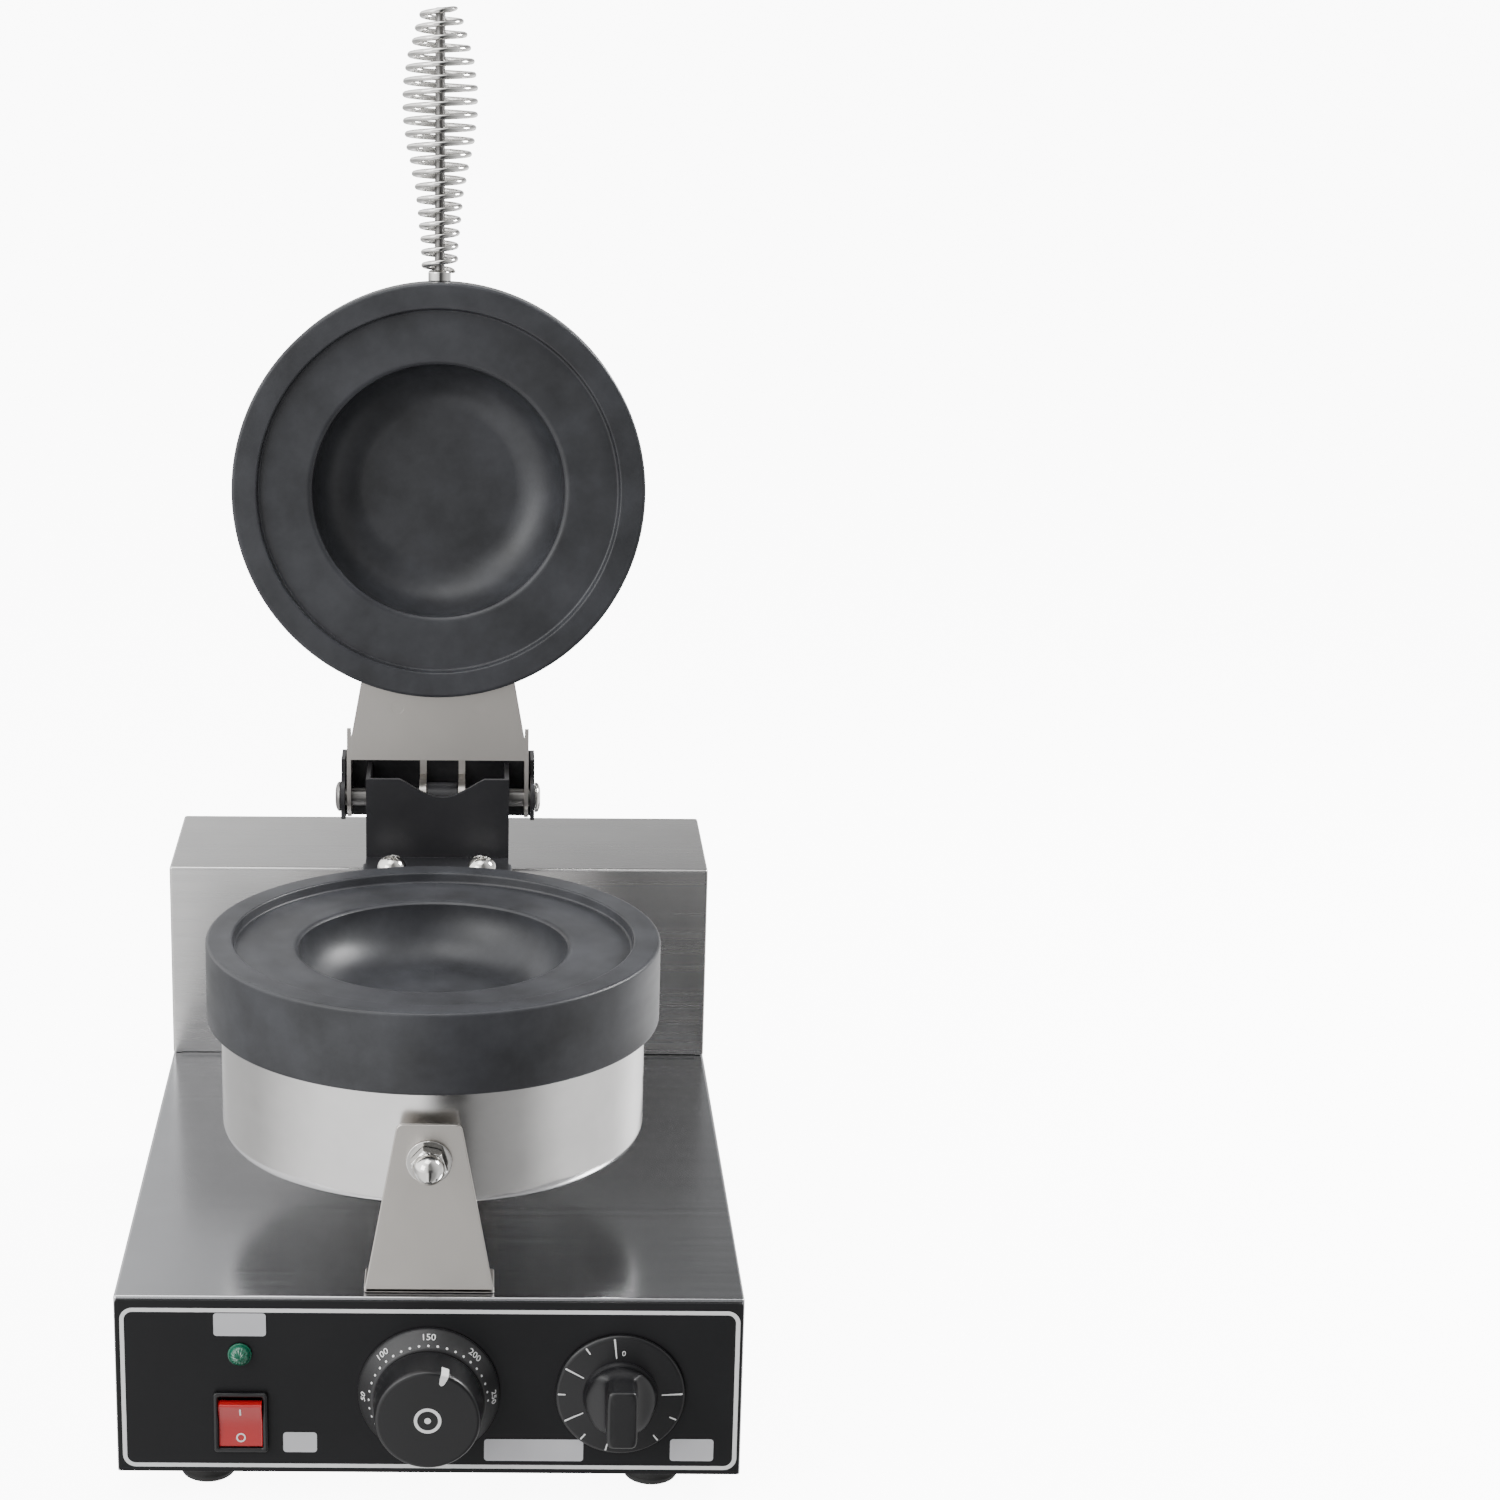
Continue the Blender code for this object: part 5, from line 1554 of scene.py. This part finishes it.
@dataclass
class CoilHandle:
    """Cool-touch handle: a rod, a ferrule and a barrel-shaped coil of wire."""

    front_y: float = 0.010
    z: float = 0.2213
    start: float = 0.0030
    length: float = 0.115
    turns: int = 20
    steps: int = 36
    wire: float = 0.00125
    rod: float = 0.0022
    radii: tuple[float, ...] = (
        0.0080, 0.0084, 0.0095, 0.0106, 0.0128, 0.0152, 0.0165, 0.0165, 0.0150, 0.0118, 0.0086
    )

    def coil_radius(self, t: Array) -> Array:
        """Radius of the wire's centre line, eased between the sizes along the coil.

        Between two sizes it goes by the mean of u and (1 - cos(pi u)) / 2, u from 0 to 1.

        Args:
            t: Shares of the coil's length.

        Returns:
            The radius at each share.
        """
        place = t * (len(self.radii) - 1)
        low = np.minimum(place.astype(int), len(self.radii) - 2)
        part = place - low
        blend = (part + (1 - np.cos(np.pi * part)) / 2) / 2
        sizes = np.array(self.radii)
        return sizes[low] + (sizes[low + 1] - sizes[low]) * blend - self.wire

    def build(self) -> None:
        """Make the coil, the rod and the ferrule.

        The coil's centre line is (r cos a, -w - travel t, r sin a), with a = 2 pi turns t.
        At both ends the wire closes in a half-round: its radius goes with sin b and its place
        with 1 - cos b, for b over a quarter turn.
        """
        t = np.linspace(0, 1, self.turns * self.steps + 1)
        angle = 2 * np.pi * self.turns * t
        radius = self.coil_radius(t)
        travel = self.length - 2 * self.wire
        path = np.stack(
            (radius * np.cos(angle), -self.wire - travel * t, radius * np.sin(angle)), axis=1
        )
        quarter = np.linspace(0, RIGHT_ANGLE, 5)
        closing, travelled = np.sin(quarter), (1 - np.cos(quarter))[1:, None]
        thick = np.full(len(t), self.wire)
        thick[:5] *= closing
        thick[-5:] *= closing[::-1]
        path[1:5] = path[0] + (path[5] - path[0]) * travelled
        path[-5:-1] = path[-1] + (path[-6] - path[-1]) * travelled[::-1]
        across = np.broadcast_to(np.array((0.0, 1.0, 0.0)), path.shape)
        root = (0, self.front_y - self.start, self.z)
        Job("lid", CHROME, "chrome", ("handle_coil",), sharp=60).make(
            "coil_grip", tube(path, across, thick, 12).placed(root)
        )
        tip = self.start + self.length - 0.001
        r = self.rod
        rod = eased([(0.0, -0.011), (r, -0.011), (r, tip), (0.0, tip)], (0.0004, 0.0008), 4)
        front = (0, self.front_y, self.z)
        job = Job("lid", DARK_STEEL, "chrome", ("handle_rod",))
        job.turn("grip_rod", rod, 32, front, Facing.FRONT)
        bore, outer, end = r + GAP, 0.0050, 0.0050
        ferrule = eased(
            [(bore, GAP), (outer, GAP), (outer, 0.0042), (0.0043, end), (bore, end), (bore, GAP)],
            (0.0003, 0.0005, 0.0004, 0.0002), 4,
        )
        job = Job("lid", CHROME, "chrome", ("handle_ferrule",))
        job.turn("grip_ferrule", ferrule, 48, front, Facing.FRONT)


# ------------------------------------------------------------------ the rest


class KeptNodes:
    """CAD nodes whose shape stays, mostly inside the press, with a dressed finish."""

    FINISHES = {
        ZINC: (
            "base_plate", "thermostat_body", "timer_body", "lower_clamp_plate", "upper_clamp_plate",
            "front_support_stud", "rear_support_stud", "foot_screw_front_left",
            "foot_screw_front_right", "foot_screw_rear_left", "foot_screw_rear_right",
        ),
        CHROME: ("thermostat_shaft", "timer_shaft", "lower_lead_tube"),
        MICA: ("lower_heater", "upper_heater"),
        WOOL: ("lower_insulation", "upper_insulation"),
        CERAMIC: ("terminal_block",),
        BLACK_PLASTIC: ("lamp_holder",),
    }

    def build(self) -> None:
        """Put the finishes on the nodes."""
        for finish, names in self.FINISHES.items():
            for name in names:
                mesh = frame["nodes"][name].data
                mesh.materials.clear()
                mesh.materials.append(finish.made())
                log.info("%-28s keeps its CAD shape, finish %s", name, finish.name)


@dataclass
class Studio:
    """Pale floor, soft light from the left and above, and the camera."""

    lens: float = 79.78
    sensor: float = 36.0
    sight: float = 100.0
    camera_place: Point3 = (0.0194, -1.3682, 0.65335)
    pitch: float = 17.02
    yaw: float = -0.14
    roll: float = 0.29
    shift: Point2 = (0.1847, 0.0442)
    sky: float = 3.2
    floor_glow: float = 9.0
    room: float = 20.0
    low_band: tuple[Point2, ...] = (
        (0.0, 0.34), (0.08, 0.24), (0.20, 0.22), (0.32, 0.50), (0.44, 0.52), (0.483, 0.62),
        (0.497, 0.24), (0.512, 0.02), (0.548, 0.015), (0.562, 0.10), (0.64, 0.15), (0.71, 0.38),
        (0.82, 0.40), (0.90, 0.75), (1.0, 0.34),
    )
    middle_band: tuple[Point2, ...] = (
        (0.0, 0.30), (0.02, 0.42), (0.07, 0.50), (0.18, 0.85), (0.30, 0.95), (0.43, 0.60),
        (0.480, 0.34), (0.496, 0.07), (0.520, 0.02), (0.57, 0.04), (0.64, 0.20), (0.75, 0.36),
        (0.88, 0.24), (0.97, 0.22), (1.0, 0.30),
    )
    high_band: tuple[Point2, ...] = (
        (0.0, 0.09), (0.012, 0.22), (0.03, 0.40), (0.07, 0.50), (0.18, 0.85), (0.30, 0.95),
        (0.43, 0.60), (0.480, 0.34), (0.496, 0.10), (0.57, 0.08), (0.64, 0.20), (0.75, 0.36),
        (0.88, 0.16), (0.97, 0.035), (1.0, 0.09),
    )

    middle_fade: Point2 = (-0.10, 0.08)
    high_fade: Point2 = (0.27, 0.37)
    softboxes: tuple[tuple[str, Point3, float, float], ...] = (  # name, place, side and watts
        ("softbox_left", (-1.3, -1.2, 1.1), 1.0, 15.0),
        ("softbox_top", (-0.2, -0.3, 1.8), 0.9, 8.0),
        ("softbox_right", (1.05, 0.30, 0.95), 0.40, 26.0),
    )
    lit: Point3 = (0.0, 0.0, 0.2)

    def build(self) -> None:
        """Make the floor, the light and the camera."""
        self.build_floor()
        self.build_sky()
        self.build_lights()
        self.build_camera()

    def build_floor(self) -> None:
        """A wide pale floor, slightly uneven in tone, and a dome of the same paint round it.

        Neither shows in the steel or lights the press: the sky does both. The dome casts no
        shadow, so the sky and the softboxes outside it still reach the press.
        """
        nodes = Nodes("floor_paint")
        cloud = nodes.pattern("Object", (1.5, 1.5, 1.5), 2.0)
        nodes.tint(cloud, (0.90, 0.90, 0.90), (0.94, 0.94, 0.94))
        inputs = nodes.shader.inputs
        inputs["Roughness"].default_value = 0.8
        inputs["Emission Color"].default_value = (1, 1, 1, 1)
        inputs["Emission Strength"].default_value = self.floor_glow
        side = np.linspace(-self.room, self.room, 5)
        x, y = np.meshgrid(side, side, indexing="xy")
        points = np.stack((x, y, np.zeros_like(x)), axis=-1)
        floor = self.stage_piece("studio_floor", grid_patch(points, points[..., :2]), nodes.material)
        wall = revolved(arc((0.0, -0.5), self.room * 0.98, 0, 90, 16), 64)
        dome = self.stage_piece("studio_dome", wall, nodes.material)
        dome.visible_shadow = False
        for piece in (floor, dome):
            piece.visible_glossy = False
            piece.visible_diffuse = False

    def stage_piece(self, name: str, patch: Patch, paint: bpy.types.Material) -> bpy.types.Object:
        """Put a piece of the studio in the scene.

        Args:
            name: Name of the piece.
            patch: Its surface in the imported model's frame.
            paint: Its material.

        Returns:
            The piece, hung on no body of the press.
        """
        mesh = bpy.data.meshes.new(name)
        mesh.from_pydata(patch.points.tolist(), [], [face[::-1] for face in patch.faces])
        mesh.materials.append(paint)
        piece = bpy.data.objects.new(name, mesh)
        bpy.context.scene.collection.objects.link(piece)
        return piece

    def build_sky(self) -> None:
        """World light by direction, in three bands of tones from below the horizon upwards.

        The place on a band is the direction's angle round the press over a full turn, from
        the back by the left (0.25), the front (0.5) and the right (0.75) to the back again.
        """
        world = bpy.data.worlds.new("studio_light")
        world.use_nodes = True
        tree = Tree(world.node_tree)
        split = tree.add("ShaderNodeSeparateXYZ")
        tree.link(tree.add("ShaderNodeTexCoord").outputs["Generated"], split.inputs["Vector"])
        front, around = tree.add("ShaderNodeMath"), tree.add("ShaderNodeMath")
        front.operation, around.operation = "MULTIPLY", "ARCTAN2"
        front.inputs[1].default_value = -1.0
        tree.link(split.outputs["Y"], front.inputs[0])
        tree.link(split.outputs["X"], around.inputs[0])
        tree.link(front.outputs["Value"], around.inputs[1])
        place = tree.remap(around.outputs["Value"], (-math.pi, math.pi))
        low, middle, high = (
            tree.ramp(place, [(at, (tone,) * 3) for at, tone in band])
            for band in (self.low_band, self.middle_band, self.high_band)
        )
        colour = self.faded(tree, split.outputs["Z"], self.middle_fade, low, middle)
        colour = self.faded(tree, split.outputs["Z"], self.high_fade, colour, high)
        background = tree.tree.nodes["Background"]
        tree.link(colour, background.inputs["Color"])
        background.inputs["Strength"].default_value = self.sky
        bpy.context.scene.world = world

    def faded(self, tree: Tree, rise: Socket, fade: Point2, below: Socket, above: Socket) -> Socket:
        """Mix two bands of the sky where the direction's rise passes a range.

        Args:
            tree: The world's tree.
            rise: The direction's rise, its z.
            fade: The rises where the upper band begins and where it is all there is.
            below: Colour of the lower band.
            above: Colour of the upper band.

        Returns:
            The mixed colour's socket.
        """
        blend = tree.add("ShaderNodeMix")
        blend.data_type = "RGBA"
        factor, first, second, mixed = 0, 6, 7, 2  # the sockets that a colour mix uses
        tree.link(tree.remap(rise, fade), blend.inputs[factor])
        tree.link(below, blend.inputs[first])
        tree.link(above, blend.inputs[second])
        return blend.outputs[mixed]

    def build_lights(self) -> None:
        """Softboxes: a large one at the front left, one above and a small one at the right."""
        target = Vector(self.lit)
        for name, place, size, power in self.softboxes:
            data = bpy.data.lights.new(name, "AREA")
            data.size = size
            data.energy = power
            light = bpy.data.objects.new(name, data)
            light.location = place
            light.rotation_euler = (target - Vector(place)).to_track_quat("-Z", "Y").to_euler()
            bpy.context.scene.collection.objects.link(light)

    def build_camera(self) -> None:
        """The camera, level but for a small roll, looking slightly down."""
        data = bpy.data.cameras.new("camera")
        data.lens = self.lens
        data.sensor_width = self.sensor
        data.shift_x, data.shift_y = self.shift
        data.clip_end = self.sight
        camera = bpy.data.objects.new("camera", data)
        turn = (
            Matrix.Rotation(math.radians(-self.yaw), 4, "Z")
            @ Matrix.Rotation(math.radians(90 - self.pitch), 4, "X")
            @ Matrix.Rotation(math.radians(self.roll), 4, "Z")
        )
        camera.matrix_world = Matrix.Translation(self.camera_place) @ turn
        bpy.context.scene.collection.objects.link(camera)
        bpy.context.scene.camera = camera


def main() -> None:
    """Build the press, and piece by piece."""
    logging.basicConfig(level=logging.INFO, format="%(message)s")
    Studio().build()
    for assembly in (
        Housing(), RearCover(), ControlPanel(), RockerSwitch(), PilotLamp(), Thermostat(), Timer(),
        LowerMould(), UpperMould(), Hinge(), CoilHandle(), KeptNodes(),
    ):
        log.info("-- %s", type(assembly).__name__)
        assembly.build()
    bpy.context.view_layer.update()


if __name__ == "__main__":
    main()
